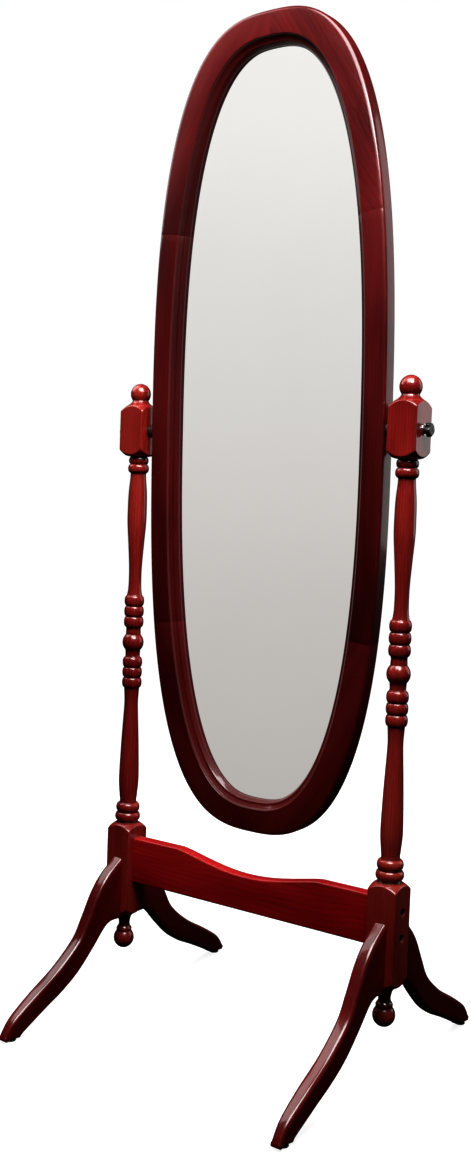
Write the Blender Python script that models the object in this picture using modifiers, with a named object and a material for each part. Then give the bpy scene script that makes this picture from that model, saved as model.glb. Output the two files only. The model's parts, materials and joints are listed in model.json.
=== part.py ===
"""Cheval floor mirror: an oval mirror that tilts between two turned posts.

Metres, +Z up. The origin is on the floor, midway between the four feet.
+X points to the right-hand post and -Y to the side that the mirror faces.
"""

import math

import bpy
import bmesh
from mathutils import Matrix, Vector

# ---------------------------------------------------------------- driving dimensions
GAP = 0.0003                      # space left between neighbouring pieces
POST_SPACING = 0.480              # distance between the two post axes
STOCK = 0.045                     # square section that the posts are turned from
STOCK_ARRIS = 0.0015              # softened corners of the square stock
POST_SIDES = 12                   # facets round the turned stretches
PIVOT_HEIGHT = 0.905              # tilt axis above the floor
REST_TILT = math.radians(1.25)    # the mirror's top leans forward by this

OVAL_HALF_WIDTH = 0.207           # outer edge of the mirror frame
OVAL_HALF_HEIGHT = 0.600
OVAL_POWER = 2.8                  # superellipse exponent of the outer edge
OVAL_POINTS = 60
FRAME_DEPTH = 0.025               # frame thickness, front to back
LIP_HALF_WIDTH = 0.1745           # oval lip where the frame's face turns down to the glass
LIP_HALF_HEIGHT = 0.5640
LIP_POWER = 2.6                   # superellipse exponent of the lip
BEVEL_WIDTH = 0.0130              # lip to the sight edge
REBATE_WALL = 0.0020              # lip to the rebate's wall
REBATE_DEPTH = 0.007              # frame back to the rebate's seat
SHEET_THICKNESS = 0.003           # glass and backing board alike
SHEET_EDGE = REBATE_WALL + 0.001  # lip to the edge of the glass and the board
SCREW_INSET = 0.030               # clip screws, in from the frame's outer edge
CLIP_SCREW_RADIUS = 0.0014
INSERT_RADIUS = 0.0055
INSERT_LENGTH = 0.015

RAIL_BOTTOM = 0.187
RAIL_TOP = 0.2585
RAIL_DIP = 0.0185                 # how far the top edge drops at mid-span
RAIL_DIP_HALF = 0.128             # half-length of the dipped stretch
RAIL_THICKNESS = 0.021
RAIL_BOLT_HEIGHTS = (0.240, 0.203)

LEG_THICKNESS = 0.021
LEG_EDGE = 0.004                  # rounding along the leg's edges
GLIDE_THICKNESS = 0.002
GLIDE_REACH = 0.248               # glide centre in front of the post axis
LEG_DOWEL_HEIGHTS = (0.178, 0.150)
LEG_DOWEL_DEPTHS = (0.0450, 0.0480)
DOWEL_START = 0.0105              # inner end of a leg dowel, from the post axis
LEG_SCREW_HEIGHT = 0.205
LEG_SCREW_TIP = 0.0065            # bottom of the screw's hole in the post, from the post axis
LEG_SCREW_SEAT = 0.034            # bottom of the screw's counterbore, from the post axis
PLUG_RADIUS = 0.0042

STUD_RADIUS = 0.003
BORE_RADIUS = STUD_RADIUS + GAP
DOWEL_RADIUS = 0.004
BOLT_RADIUS = 0.003
BOLT_HEAD_RADIUS = 0.006
BOLT_HEAD_HEIGHT = 0.003
BOLT_SINK = 0.005                 # counterbore for the bolt's head in the post's outer face
BOLT_REACH = 0.042                # how far the bolt's tip is past the post's inner face
NUT_RADIUS = 0.005
NUT_INSET = 0.033                 # barrel nut axis in from the rail's end
SCREW_RADIUS = 0.002
WASHER_THICKNESS = 0.0012
WASHER_RADIUS = 0.008
SPACER_RADIUS = 0.010
KNOB_HEIGHT = 0.0108
KNOB_LOBES = 5
STUD_END = 0.0070                 # the stud's hole in the knob
CLIP_COUNT = 6
CLIP_LENGTH = 0.022
CLIP_WIDTH = 0.010
CLIP_THICKNESS = 0.0012

POST_X = POST_SPACING / 2
BLOCK_FACE = STOCK / 2

# ---------------------------------------------------------------- colours
CHERRY = (0.105, 0.008, 0.009, 1.0)
CHERRY_DARK = (0.060, 0.005, 0.006, 1.0)
BIRCH = (0.62, 0.44, 0.27, 1.0)
HARDBOARD = (0.23, 0.13, 0.07, 1.0)
SILVERING = (0.78, 0.79, 0.78, 1.0)
ZINC = (0.62, 0.62, 0.60, 1.0)
BLACK_STEEL = (0.05, 0.05, 0.055, 1.0)
BRASS = (0.72, 0.52, 0.22, 1.0)
BLACK_PLASTIC = (0.012, 0.012, 0.013, 1.0)
NYLON = (0.03, 0.012, 0.012, 1.0)

for old in list(bpy.data.objects):
    bpy.data.objects.remove(old, do_unlink=True)


def new_collection(name):
    collection = bpy.data.collections.new(name)
    bpy.context.scene.collection.children.link(collection)
    return collection


PARTS = new_collection("cheval_floor_mirror")
CUTTERS = new_collection("cutters")


# ---------------------------------------------------------------- helpers
def finish(obj, colour, roughness, metallic=0.0):
    """Give an object its own Principled material."""
    material = bpy.data.materials.new(obj.name + "_finish")
    material.use_nodes = True
    shader = material.node_tree.nodes["Principled BSDF"]
    shader.inputs["Base Color"].default_value = colour
    shader.inputs["Roughness"].default_value = roughness
    shader.inputs["Metallic"].default_value = metallic
    obj.data.materials.clear()
    obj.data.materials.append(material)
    return obj


def add_object(name, data, collection=PARTS):
    obj = bpy.data.objects.new(name, data)
    collection.objects.link(obj)
    return obj


def mesh_object(name, bm, collection=PARTS):
    mesh = bpy.data.meshes.new(name)
    bm.to_mesh(mesh)
    bm.free()
    return add_object(name, mesh, collection)


def cutter_object(name, bm):
    cutter = mesh_object(name, bm, CUTTERS)
    cutter.hide_render = True
    cutter.display_type = "WIRE"
    return cutter


def boolean(obj, cutter, operation="DIFFERENCE"):
    modifier = obj.modifiers.new(operation.lower(), "BOOLEAN")
    modifier.operation = operation
    modifier.solver = "EXACT"
    modifier.object = cutter


def add_cylinder(bm, radius, start, end, segments=12):
    """A capped cylinder between two points."""
    start, end = Vector(start), Vector(end)
    along = end - start
    turn = along.to_track_quat("Z", "Y").to_matrix().to_4x4()
    matrix = Matrix.Translation((start + end) / 2) @ turn
    bmesh.ops.create_cone(
        bm, cap_ends=True, segments=segments, radius1=radius, radius2=radius,
        depth=along.length, matrix=matrix,
    )


def add_box(bm, low, high):
    low, high = Vector(low), Vector(high)
    matrix = Matrix.Translation((low + high) / 2) @ Matrix.Diagonal((high - low).to_4d())
    return bmesh.ops.create_cube(bm, size=1.0, matrix=matrix)["verts"]


def turned(name, profile, steps, collection=PARTS):
    """Turn a (radius, height) profile, listed top to bottom, about the local Z axis."""
    bm = bmesh.new()
    points = [bm.verts.new((radius, 0.0, height)) for radius, height in profile]
    for first, second in zip(points, points[1:]):
        bm.edges.new((first, second))
    obj = mesh_object(name, bm, collection)
    screw = obj.modifiers.new("turn", "SCREW")
    screw.axis = "Z"
    screw.angle = math.tau
    screw.steps = steps
    screw.render_steps = steps
    screw.use_merge_vertices = True
    screw.merge_threshold = 0.00005
    return obj


def baked_mesh(obj):
    """The object's evaluated shape as a plain, welded mesh in world space."""
    bpy.context.view_layer.update()
    evaluated = obj.evaluated_get(bpy.context.evaluated_depsgraph_get())
    mesh = bpy.data.meshes.new_from_object(evaluated)
    mesh.transform(obj.matrix_world)
    bm = bmesh.new()
    bm.from_mesh(mesh)
    bmesh.ops.remove_doubles(bm, verts=bm.verts, dist=0.00001)
    bm.to_mesh(mesh)
    bm.free()
    mesh.name = obj.name
    return mesh


def baked(obj, collection=PARTS):
    """Replace an object with its evaluated mesh."""
    name = obj.name
    mesh = baked_mesh(obj)
    bpy.data.objects.remove(obj, do_unlink=True)
    return add_object(name, mesh, collection)


def copies(source, places, colour, roughness, metallic=0.0, parent=None):
    """Replace a source object with a copy of it at each (name, matrix) place."""
    mesh = baked_mesh(source)
    bpy.data.objects.remove(source, do_unlink=True)
    for name, matrix in places:
        copy = add_object(name, mesh.copy())
        copy.parent = parent
        copy.matrix_local = matrix
        smooth_shading(copy)
        finish(copy, colour, roughness, metallic)


def smooth_shading(obj, angle=math.radians(35)):
    obj.data.shade_smooth()
    obj.data.set_sharp_from_angle(angle=angle)


def flat_outline(name, points, thickness, edge=0.0, rounds=0):
    """A closed 2D outline of the given thickness, its rims eased by edge in rounds + 1 facets."""
    curve = bpy.data.curves.new(name, "CURVE")
    curve.dimensions = "2D"
    curve.fill_mode = "BOTH"
    curve.extrude = thickness / 2 - edge
    curve.bevel_depth = edge
    curve.bevel_resolution = rounds
    curve.offset = -edge
    spline = curve.splines.new("POLY")
    spline.points.add(len(points) - 1)
    for point, (x, y) in zip(spline.points, points):
        point.co = (x, y, 0.0, 1.0)
    spline.use_cyclic_u = True
    return add_object(name, curve)


def through(points, steps):
    """A smooth line through the given points (Catmull-Rom), steps per stretch."""
    ends = [2 * Vector(points[0]) - Vector(points[1])]
    ends += [Vector(p) for p in points]
    ends += [2 * Vector(points[-1]) - Vector(points[-2])]
    line = []
    for a, b, c, d in zip(ends, ends[1:], ends[2:], ends[3:]):
        for i in range(steps):
            t = i / steps
            line.append(
                0.5 * (2 * b + (c - a) * t + (2 * a - 5 * b + 4 * c - d) * t ** 2
                       + (3 * b - a - 3 * c + d) * t ** 3)
            )
    line.append(Vector(points[-1]))
    return [tuple(p) for p in line]


# Matrices that stand a local XY outline up, and lay a turned shape along X.
FACING_FRONT = Matrix.Rotation(math.radians(90), 4, "X")
FACING_SIDE = Matrix.Rotation(math.radians(-90), 4, "Z") @ FACING_FRONT
ALONG_X = Matrix.Rotation(math.radians(90), 4, "Y")
HALF_TURN = Matrix.Rotation(math.pi, 4, "Z")


def copy_pair(source, name, matrix, colour, roughness, metallic=0.0):
    """A right-hand piece at the matrix, and its left-hand twin half a turn about Z away."""
    places = [("right_" + name, matrix), ("left_" + name, HALF_TURN @ matrix)]
    copies(source, places, colour, roughness, metallic)


# ---------------------------------------------------------------- posts
def bead(height, radius, half, valley):
    """A rounded ring on the turning: the valley above it, then its crest."""
    return [
        (valley, height + half),
        (radius, height + 0.35 * half),
        (radius, height - 0.35 * half),
    ]


def arc(centre, radius, half_height, start, end, steps):
    """An elliptical arc of the turning, between two angles in degrees."""
    points = []
    for i in range(steps + 1):
        angle = math.radians(start + (end - start) * i / steps)
        points.append((radius * math.cos(angle), centre + half_height * math.sin(angle)))
    return points


def post_profile():
    """The turning from the finial down to the drop: (radius, height)."""
    past_corner = 0.033
    profile = [(0.0, 0.9797)]
    profile += arc(0.9635, 0.0158, 0.0162, 65, -36, 4)
    profile += [(0.0126, 0.9525), (0.0155, 0.9485), (BLOCK_FACE, 0.9435), (past_corner, 0.9335)]
    profile += [(past_corner, 0.8770), (BLOCK_FACE, 0.8675), (0.0140, 0.8650)]
    profile += bead(0.8590, 0.0155, 0.0055, 0.0128) + bead(0.8460, 0.0165, 0.0065, 0.0128)
    profile += [
        (0.0122, 0.8370), (0.0145, 0.8090), (0.0151, 0.7850), (0.0149, 0.7600),
        (0.0125, 0.7260), (0.0103, 0.6900), (0.0102, 0.6620), (0.0118, 0.6470),
    ]
    for height in (0.6360, 0.6185, 0.6025):
        profile += bead(height, 0.0155, 0.0075, 0.0125)
    profile += [(0.0115, 0.5935)]
    profile += arc(0.5700, 0.0168, 0.0168, 48, -48, 4)
    profile += [(0.0118, 0.5480)]
    for height in (0.5380, 0.5225, 0.5070):
        profile += bead(height, 0.0155, 0.0075, 0.0125)
    profile += [
        (0.0120, 0.4960), (0.0110, 0.4700), (0.0130, 0.4300), (0.0147, 0.3920),
        (0.0158, 0.3500), (0.0142, 0.3260), (0.0128, 0.3130),
    ]
    profile += bead(0.3040, 0.0188, 0.0070, 0.0145) + bead(0.2895, 0.0200, 0.0070, 0.0155)
    profile += [(0.0168, 0.2815), (BLOCK_FACE, 0.2775), (past_corner, 0.2680)]
    profile += [(past_corner, 0.1445), (BLOCK_FACE, 0.1350), (0.0125, 0.1290)]
    profile += [(0.0088, 0.1190), (0.0088, 0.1110), (0.0110, 0.1065)]
    profile += arc(0.0905, 0.0161, 0.0165, 40, -65, 4)
    profile += [(0.0, 0.0740)]
    return profile


def square_stock():
    """The square bar that the turning is cut from."""
    bm = bmesh.new()
    add_box(bm, (-BLOCK_FACE, -BLOCK_FACE, 0.05), (BLOCK_FACE, BLOCK_FACE, 1.0))
    upright = [e for e in bm.edges if abs(e.verts[0].co.z - e.verts[1].co.z) > 0.5]
    bmesh.ops.bevel(bm, geom=upright, offset=STOCK_ARRIS, segments=1, affect="EDGES", profile=0.5)
    return cutter_object("square_stock", bm)


def post_bores():
    """Pivot, rail-bolt, dowel and leg-screw holes of one post, +X being its outer side."""
    bm = bmesh.new()
    reach = BLOCK_FACE + 0.005
    add_cylinder(bm, BORE_RADIUS, (-reach, 0, PIVOT_HEIGHT), (reach, 0, PIVOT_HEIGHT))
    for height in RAIL_BOLT_HEIGHTS:
        shoulder = (BLOCK_FACE - BOLT_SINK, 0, height)
        add_cylinder(bm, BOLT_RADIUS + GAP, (-reach, 0, height), shoulder)
        add_cylinder(bm, BOLT_HEAD_RADIUS + GAP, shoulder, (reach, 0, height))
    for side in (-1, 1):
        for height in LEG_DOWEL_HEIGHTS:
            tip = (0, side * (DOWEL_START - 0.001), height)
            add_cylinder(bm, DOWEL_RADIUS + GAP, tip, (0, side * reach, height))
        tip = (0, side * LEG_SCREW_TIP, LEG_SCREW_HEIGHT)
        add_cylinder(bm, SCREW_RADIUS + GAP, tip, (0, side * reach, LEG_SCREW_HEIGHT), 8)
    return cutter_object("post_bores", bm)


def make_posts():
    bores = post_bores()
    stock = square_stock()
    post = turned("post", post_profile(), POST_SIDES)
    boolean(post, stock, "INTERSECT")
    boolean(post, bores)
    copy_pair(post, "post", Matrix.Translation((POST_X, 0, 0)), CHERRY, 0.25)


# ---------------------------------------------------------------- stretcher rail
def rail_top(x):
    """Height of the rail's top edge, which dips in an ogee at mid-span."""
    if abs(x) >= RAIL_DIP_HALF:
        return RAIL_TOP
    blend = (1 + math.cos(math.pi * x / RAIL_DIP_HALF)) / 2
    return RAIL_TOP - RAIL_DIP * blend ** 0.6


def make_rail():
    steps = 12
    outline = [(-POST_X, RAIL_BOTTOM), (POST_X, RAIL_BOTTOM), (POST_X, RAIL_TOP)]
    for i in range(steps + 1):
        x = RAIL_DIP_HALF * (1 - 2 * i / steps)
        outline.append((x, rail_top(x)))
    outline.append((-POST_X, RAIL_TOP))
    rail = flat_outline("stretcher_rail", outline, RAIL_THICKNESS, 0.0015)
    rail.matrix_world = FACING_FRONT
    rail = baked(rail)

    bm = bmesh.new()
    end = POST_X - BLOCK_FACE - GAP
    for side in (-1, 1):
        faces = sorted((side * end, side * (end + 0.05)))
        add_box(bm, (faces[0], -0.03, 0.1), (faces[1], 0.03, 0.3))
    boolean(rail, cutter_object("rail_ends", bm))
    bm = bmesh.new()
    for side in (-1, 1):
        for height in RAIL_BOLT_HEIGHTS:
            add_cylinder(
                bm, BOLT_RADIUS + GAP,
                (side * (end + 0.01), 0, height), (side * (end - BOLT_REACH - 0.003), 0, height),
            )
    boolean(rail, cutter_object("rail_bolt_holes", bm))
    bm = bmesh.new()
    for side in (-1, 1):
        for height in RAIL_BOLT_HEIGHTS:
            x = side * (end - NUT_INSET)
            add_cylinder(bm, NUT_RADIUS + GAP, (x, -0.0075, height), (x, 0.02, height))
    boolean(rail, cutter_object("rail_nut_holes", bm))
    rail = baked(rail)
    smooth_shading(rail)
    finish(rail, CHERRY_DARK, 0.28)


def make_rail_hardware():
    """Connector bolts with sunk flat heads, and the barrel nuts that they screw into."""
    head = POST_X + BLOCK_FACE - BOLT_SINK + GAP
    length = head - (POST_X - BLOCK_FACE - BOLT_REACH)
    rim = BOLT_HEAD_HEIGHT - 0.0008
    profile = [
        (0.0, BOLT_HEAD_HEIGHT), (BOLT_HEAD_RADIUS - 0.0006, BOLT_HEAD_HEIGHT),
        (BOLT_HEAD_RADIUS, rim), (BOLT_HEAD_RADIUS, 0.0), (BOLT_RADIUS, 0.0),
        (BOLT_RADIUS, -length), (0.0, -length),
    ]
    nut_x = POST_X - BLOCK_FACE - GAP - NUT_INSET
    for level, height in zip(("upper", "lower"), RAIL_BOLT_HEIGHTS):
        copy_pair(
            turned("bolt", profile, 12), "rail_bolt_" + level,
            Matrix.Translation((head, 0, height)) @ ALONG_X, BLACK_STEEL, 0.4, 1.0,
        )
        bm = bmesh.new()
        add_cylinder(bm, NUT_RADIUS, (0, -0.007, 0), (0, 0.0085, 0))
        nut = mesh_object("nut", bm)
        bm = bmesh.new()
        add_cylinder(bm, BOLT_RADIUS + GAP, (-0.02, 0, 0), (0.02, 0, 0))
        boolean(nut, cutter_object("nut_thread_" + level, bm))
        places = [
            (f"{side}_rail_barrel_nut_{level}", Matrix.Translation((x, 0, height)))
            for side, x in (("right", nut_x), ("left", -nut_x))
        ]
        copies(nut, places, ZINC, 0.35, 1.0)


# ---------------------------------------------------------------- legs
def leg_outline():
    """Side view of one leg: (distance from the post axis, height)."""
    root = 0.012
    toe_flat = GLIDE_THICKNESS + GAP
    top = through(
        [(BLOCK_FACE, 0.2255), (0.054, 0.2030), (0.075, 0.1790), (0.095, 0.1450),
         (0.115, 0.1150), (0.1565, 0.0830), (0.206, 0.0560), (0.2445, 0.0330), (0.2655, 0.0075)], 2)
    under = through(
        [(0.237, toe_flat), (0.215, 0.0140), (0.182, 0.0300), (0.148, 0.0455), (0.1145, 0.0660),
         (0.083, 0.0940), (0.058, 0.1190), (0.043, 0.1270), (BLOCK_FACE, 0.1275)], 2)
    return [(root, 0.2300)] + top + [(0.262, toe_flat)] + under + [(root, 0.1275)]


def leg_cutter():
    """What is taken off a leg so that it seats against the block."""
    bm = bmesh.new()
    seat = BLOCK_FACE + GAP
    add_box(bm, (-0.05, -seat, 0.05), (0.05, 0.05, 0.30))
    return cutter_object("leg_seat", bm)


def leg_bores():
    """Dowel and screw holes, the screw's counterbore, and the glide's pin hole."""
    bm = bmesh.new()
    for height, depth in zip(LEG_DOWEL_HEIGHTS, LEG_DOWEL_DEPTHS):
        add_cylinder(bm, DOWEL_RADIUS + GAP, (0, -0.015, height), (0, -depth, height))
    add_cylinder(
        bm, SCREW_RADIUS + GAP,
        (0, -0.015, LEG_SCREW_HEIGHT), (0, -LEG_SCREW_SEAT, LEG_SCREW_HEIGHT), 8,
    )
    add_cylinder(
        bm, PLUG_RADIUS + GAP,
        (0, -LEG_SCREW_SEAT, LEG_SCREW_HEIGHT), (0, -0.0900, LEG_SCREW_HEIGHT),
    )
    add_cylinder(bm, 0.0018, (0, -GLIDE_REACH, -0.01), (0, -GLIDE_REACH, 0.012), 8)
    return cutter_object("leg_bores", bm)


def corners():
    """The four legs' names, and what moves a front leg made at the origin to each."""
    places = []
    for side, x in (("right", POST_X), ("left", -POST_X)):
        for end, turn in (("front", Matrix.Identity(4)), ("back", HALF_TURN)):
            places.append((f"{end}_{side}", Matrix.Translation((x, 0, 0)) @ turn))
    return places


def make_leg_plugs(leg):
    """Plugs over the leg screws, cut flush with the leg's edge."""
    body = add_object("plug_limit", leg.data.copy(), CUTTERS)
    body.hide_render = True
    body.display_type = "WIRE"
    bm = bmesh.new()
    inner = LEG_SCREW_SEAT + 0.0032
    add_cylinder(bm, PLUG_RADIUS, (0, -inner, LEG_SCREW_HEIGHT), (0, -0.09, LEG_SCREW_HEIGHT))
    plug = mesh_object("plug", bm)
    boolean(plug, body, "INTERSECT")
    places = [(corner + "_leg_plug", matrix) for corner, matrix in corners()]
    copies(plug, places, CHERRY_DARK, 0.35)


def make_legs():
    outline = flat_outline("front_right_leg", leg_outline(), LEG_THICKNESS, LEG_EDGE)
    outline.matrix_world = FACING_SIDE
    leg = baked(outline)
    boolean(leg, leg_cutter())
    leg = baked(leg)
    make_leg_plugs(leg)
    boolean(leg, leg_bores())
    copies(leg, [(corner + "_leg", matrix) for corner, matrix in corners()], CHERRY, 0.28)


def make_leg_fasteners():
    """Dowels and a screw between each block and leg, and the glides underfoot."""
    toward_front = Matrix.Rotation(math.radians(90), 4, "X")
    screw = turned("leg_screw", [
        (0.0, 0.0026), (0.0040, 0.0026), (0.0040, 0.0018), (SCREW_RADIUS, 0.0),
        (SCREW_RADIUS, -0.0230), (0.0, -0.0260),
    ], 10)
    seat = Matrix.Translation((0, -LEG_SCREW_SEAT - GAP, LEG_SCREW_HEIGHT)) @ toward_front
    places = [(corner + "_leg_screw", matrix @ seat) for corner, matrix in corners()]
    copies(screw, places, ZINC, 0.4, 1.0)

    for level, height, depth in zip(("upper", "lower"), LEG_DOWEL_HEIGHTS, LEG_DOWEL_DEPTHS):
        bm = bmesh.new()
        add_cylinder(bm, DOWEL_RADIUS, (0, -DOWEL_START, height), (0, 0.001 - depth, height))
        dowel = mesh_object("dowel", bm)
        bevel = dowel.modifiers.new("chamfer", "BEVEL")
        bevel.width = 0.0006
        bevel.segments = 1
        bevel.limit_method = "ANGLE"
        bevel.angle_limit = math.radians(60)
        places = [(f"{corner}_leg_dowel_{level}", matrix) for corner, matrix in corners()]
        copies(dowel, places, BIRCH, 0.7)

    glide = turned("glide", [
        (0.0, 0.0110), (0.0010, 0.0095), (0.0015, GLIDE_THICKNESS), (0.0072, GLIDE_THICKNESS),
        (0.0080, 0.0013), (0.0080, 0.0005), (0.0075, 0.0), (0.0, 0.0),
    ], 16)
    under_toe = Matrix.Translation((0, -GLIDE_REACH, 0))
    places = [(corner + "_glide", matrix @ under_toe) for corner, matrix in corners()]
    copies(glide, places, NYLON, 0.55)


# ---------------------------------------------------------------- mirror
def oval_edge(count=OVAL_POINTS):
    """The frame's outer edge: (point, direction inward) pairs, right-hand side first."""
    edge = []
    for i in range(count):
        angle = math.tau * i / count
        c, s = math.cos(angle), math.sin(angle)
        x = OVAL_HALF_WIDTH * math.copysign(abs(c) ** (2 / OVAL_POWER), c)
        y = OVAL_HALF_HEIGHT * math.copysign(abs(s) ** (2 / OVAL_POWER), s)
        outward = Vector((
            math.copysign(abs(x / OVAL_HALF_WIDTH) ** (OVAL_POWER - 1), x) / OVAL_HALF_WIDTH,
            math.copysign(abs(y / OVAL_HALF_HEIGHT) ** (OVAL_POWER - 1), y) / OVAL_HALF_HEIGHT,
        )).normalized()
        edge.append((Vector((x, y)), -outward))
    return edge


def lip_distance(point, inward):
    """How far in from a point of the outer edge the lip is."""
    near, far = 0.02, 0.06
    for _ in range(30):
        middle = (near + far) / 2
        x, y = point + inward * middle
        past = abs(x / LIP_HALF_WIDTH) ** LIP_POWER + abs(y / LIP_HALF_HEIGHT) ** LIP_POWER > 1
        near, far = (middle, far) if past else (near, middle)
    return near


def inside_lip(offset):
    """Points of the oval that lies inside the lip by offset."""
    return [
        tuple(point + inward * (lip_distance(point, inward) + offset))
        for point, inward in oval_edge()
    ]


def outer_section():
    """The frame's section by its outer edge: (inset from that edge, height above the back)."""
    front = FRAME_DEPTH
    return [
        (0.0015, 0.0), (0.0, 0.0015), (0.0, front - 0.0065), (0.0010, front - 0.0030),
        (0.0032, front - 0.0008), (0.0065, front),
    ]


def inner_section():
    """The frame's section by the glass: (inset from the lip, height above the back)."""
    front = FRAME_DEPTH
    return [
        (0.0, front), (0.0012, front - 0.0012), (0.0016, front - 0.0050),
        (0.0095, front - 0.0090), (0.0115, front - 0.0120), (BEVEL_WIDTH, 0.0100),
        (BEVEL_WIDTH, REBATE_DEPTH), (REBATE_WALL, REBATE_DEPTH), (REBATE_WALL, 0.0),
    ]


def mirror_pivot():
    """The empty on the tilt axis that carries the mirror at its resting lean."""
    pivot = bpy.data.objects.new("mirror_pivot", None)
    PARTS.objects.link(pivot)
    pivot.location.z = PIVOT_HEIGHT
    pivot.rotation_euler.x = REST_TILT
    bpy.context.view_layer.update()
    return pivot


def lay_in_mirror(obj, pivot, back_offset):
    """Stand an outline up in the mirror, its middle plane at a height above the frame's back."""
    obj.parent = pivot
    obj.rotation_euler.x = math.radians(90)
    obj.location.y = FRAME_DEPTH / 2 - back_offset


def clip_angles():
    return [math.tau * (i + 0.5) / CLIP_COUNT for i in range(CLIP_COUNT)]


def rim_matrix(angle, inset, back_offset):
    """A place on the frame's back: local X points inward, local Z out of the back."""
    count = 360
    edge_point, inward = oval_edge(count)[round(angle / math.tau * count) % count]
    point = edge_point + inward * inset
    x_axis = Vector((inward.x, 0.0, inward.y))
    z_axis = Vector((0.0, 1.0, 0.0))
    y_axis = z_axis.cross(x_axis)
    matrix = Matrix((x_axis, y_axis, z_axis)).transposed().to_4x4()
    matrix.translation = (point.x, FRAME_DEPTH / 2 - back_offset, point.y)
    return matrix


def make_frame(pivot):
    """The oval moulding, lofted round the oval because its width changes on the way."""
    bm = bmesh.new()
    rings = []
    for point, inward in oval_edge():
        lip = lip_distance(point, inward)
        section = outer_section() + [(lip + inset, height) for inset, height in inner_section()]
        ring = []
        for inset, height in section:
            flat = point + inward * inset
            ring.append(bm.verts.new((flat.x, flat.y, height - FRAME_DEPTH / 2)))
        rings.append(ring)
    for ring, after in zip(rings, rings[1:] + rings[:1]):
        for i, corner in enumerate(ring):
            previous = i - 1
            bm.faces.new((ring[previous], corner, after[i], after[previous]))
    bmesh.ops.recalc_face_normals(bm, faces=bm.faces)
    frame = mesh_object("mirror_frame", bm)

    bm = bmesh.new()
    for side in (-1, 1):
        edge = side * OVAL_HALF_WIDTH
        inner = side * (OVAL_HALF_WIDTH - INSERT_LENGTH - 0.002)
        add_cylinder(bm, INSERT_RADIUS + GAP, (edge + side * 0.01, 0, 0), (inner, 0, 0), 16)
    for angle in clip_angles():
        place = rim_matrix(angle, SCREW_INSET, 0.0)
        start = place @ Vector((0, 0, 0.01))
        end = place @ Vector((0, 0, -0.013))
        # The frame still lies flat here, so the place is laid down with it.
        lay = Matrix.Rotation(math.radians(-90), 4, "X")
        add_cylinder(bm, CLIP_SCREW_RADIUS + GAP, lay @ start, lay @ end, 8)
    boolean(frame, cutter_object("frame_holes", bm))
    frame = baked(frame)
    smooth_shading(frame, math.radians(28))
    frame.parent = pivot
    frame.rotation_euler.x = math.radians(90)
    finish(frame, CHERRY_DARK, 0.22)


def make_sheets(pivot):
    """The glass on the rebate's seat and the backing board behind it."""
    glass_back = REBATE_DEPTH - GAP - SHEET_THICKNESS
    board_back = glass_back - GAP - SHEET_THICKNESS
    for name, back, colour, roughness, metallic in (
        ("mirror_glass", glass_back, SILVERING, 0.03, 1.0),
        ("backing_board", board_back, HARDBOARD, 0.8, 0.0),
    ):
        sheet = flat_outline(name, inside_lip(SHEET_EDGE), SHEET_THICKNESS)
        lay_in_mirror(sheet, pivot, back + SHEET_THICKNESS / 2)
        finish(sheet, colour, roughness, metallic)


def make_clips(pivot):
    """Turn clips that hold the backing board in, and their screws."""
    tail = 0.007
    bm = bmesh.new()
    low = (-tail, -CLIP_WIDTH / 2, GAP)
    add_box(bm, low, (CLIP_LENGTH - tail, CLIP_WIDTH / 2, GAP + CLIP_THICKNESS))
    upright = [e for e in bm.edges if abs(e.verts[0].co.z - e.verts[1].co.z) > CLIP_THICKNESS / 2]
    rounding = 0.35 * CLIP_WIDTH
    bmesh.ops.bevel(bm, geom=upright, offset=rounding, segments=3, affect="EDGES", profile=0.5)
    clip = mesh_object("clip", bm)
    bm = bmesh.new()
    add_cylinder(bm, CLIP_SCREW_RADIUS + GAP, (0, 0, -0.01), (0, 0, 0.01), 8)
    boolean(clip, cutter_object("clip_hole", bm))
    rim = [(str(i + 1), rim_matrix(a, SCREW_INSET, 0.0)) for i, a in enumerate(clip_angles())]
    places = [("backing_clip_" + number, matrix) for number, matrix in rim]
    copies(clip, places, BRASS, 0.4, 1.0, pivot)

    seat = 2 * GAP + CLIP_THICKNESS
    screw = turned("clip_screw", [
        (0.0, seat + 0.0016), (0.0018, seat + 0.0013), (0.0029, seat), (CLIP_SCREW_RADIUS, seat),
        (CLIP_SCREW_RADIUS, -0.0110), (0.0, -0.0125),
    ], 8)
    places = [("clip_screw_" + number, matrix) for number, matrix in rim]
    copies(screw, places, BRASS, 0.35, 1.0, pivot)


def ring_profile(inner, outer, length):
    """A plain bush standing on z = 0."""
    return [(inner, length), (outer, length), (outer, 0.0), (inner, 0.0), (inner, length)]


def make_pivots(pivot):
    """Threaded inserts in the frame's edges, and the spacers between frame and blocks."""
    insert = turned("insert", ring_profile(BORE_RADIUS, INSERT_RADIUS, INSERT_LENGTH), 16)
    x = OVAL_HALF_WIDTH - 0.0005 - INSERT_LENGTH
    place = Matrix.Translation((x, 0, 0)) @ ALONG_X
    places = [("right_pivot_insert", place), ("left_pivot_insert", HALF_TURN @ place)]
    copies(insert, places, BRASS, 0.35, 1.0, pivot)

    frame_edge = OVAL_HALF_WIDTH + GAP
    length = POST_X - BLOCK_FACE - GAP - frame_edge
    edge = 0.001
    profile = [
        (BORE_RADIUS, length), (SPACER_RADIUS - edge, length), (SPACER_RADIUS, length - edge),
        (SPACER_RADIUS, edge), (SPACER_RADIUS - edge, 0.0), (BORE_RADIUS, 0.0),
        (BORE_RADIUS, length),
    ]
    place = Matrix.Translation((frame_edge, 0, PIVOT_HEIGHT)) @ ALONG_X
    copy_pair(turned("spacer", profile, 20), "pivot_spacer", place, NYLON, 0.5)


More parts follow.
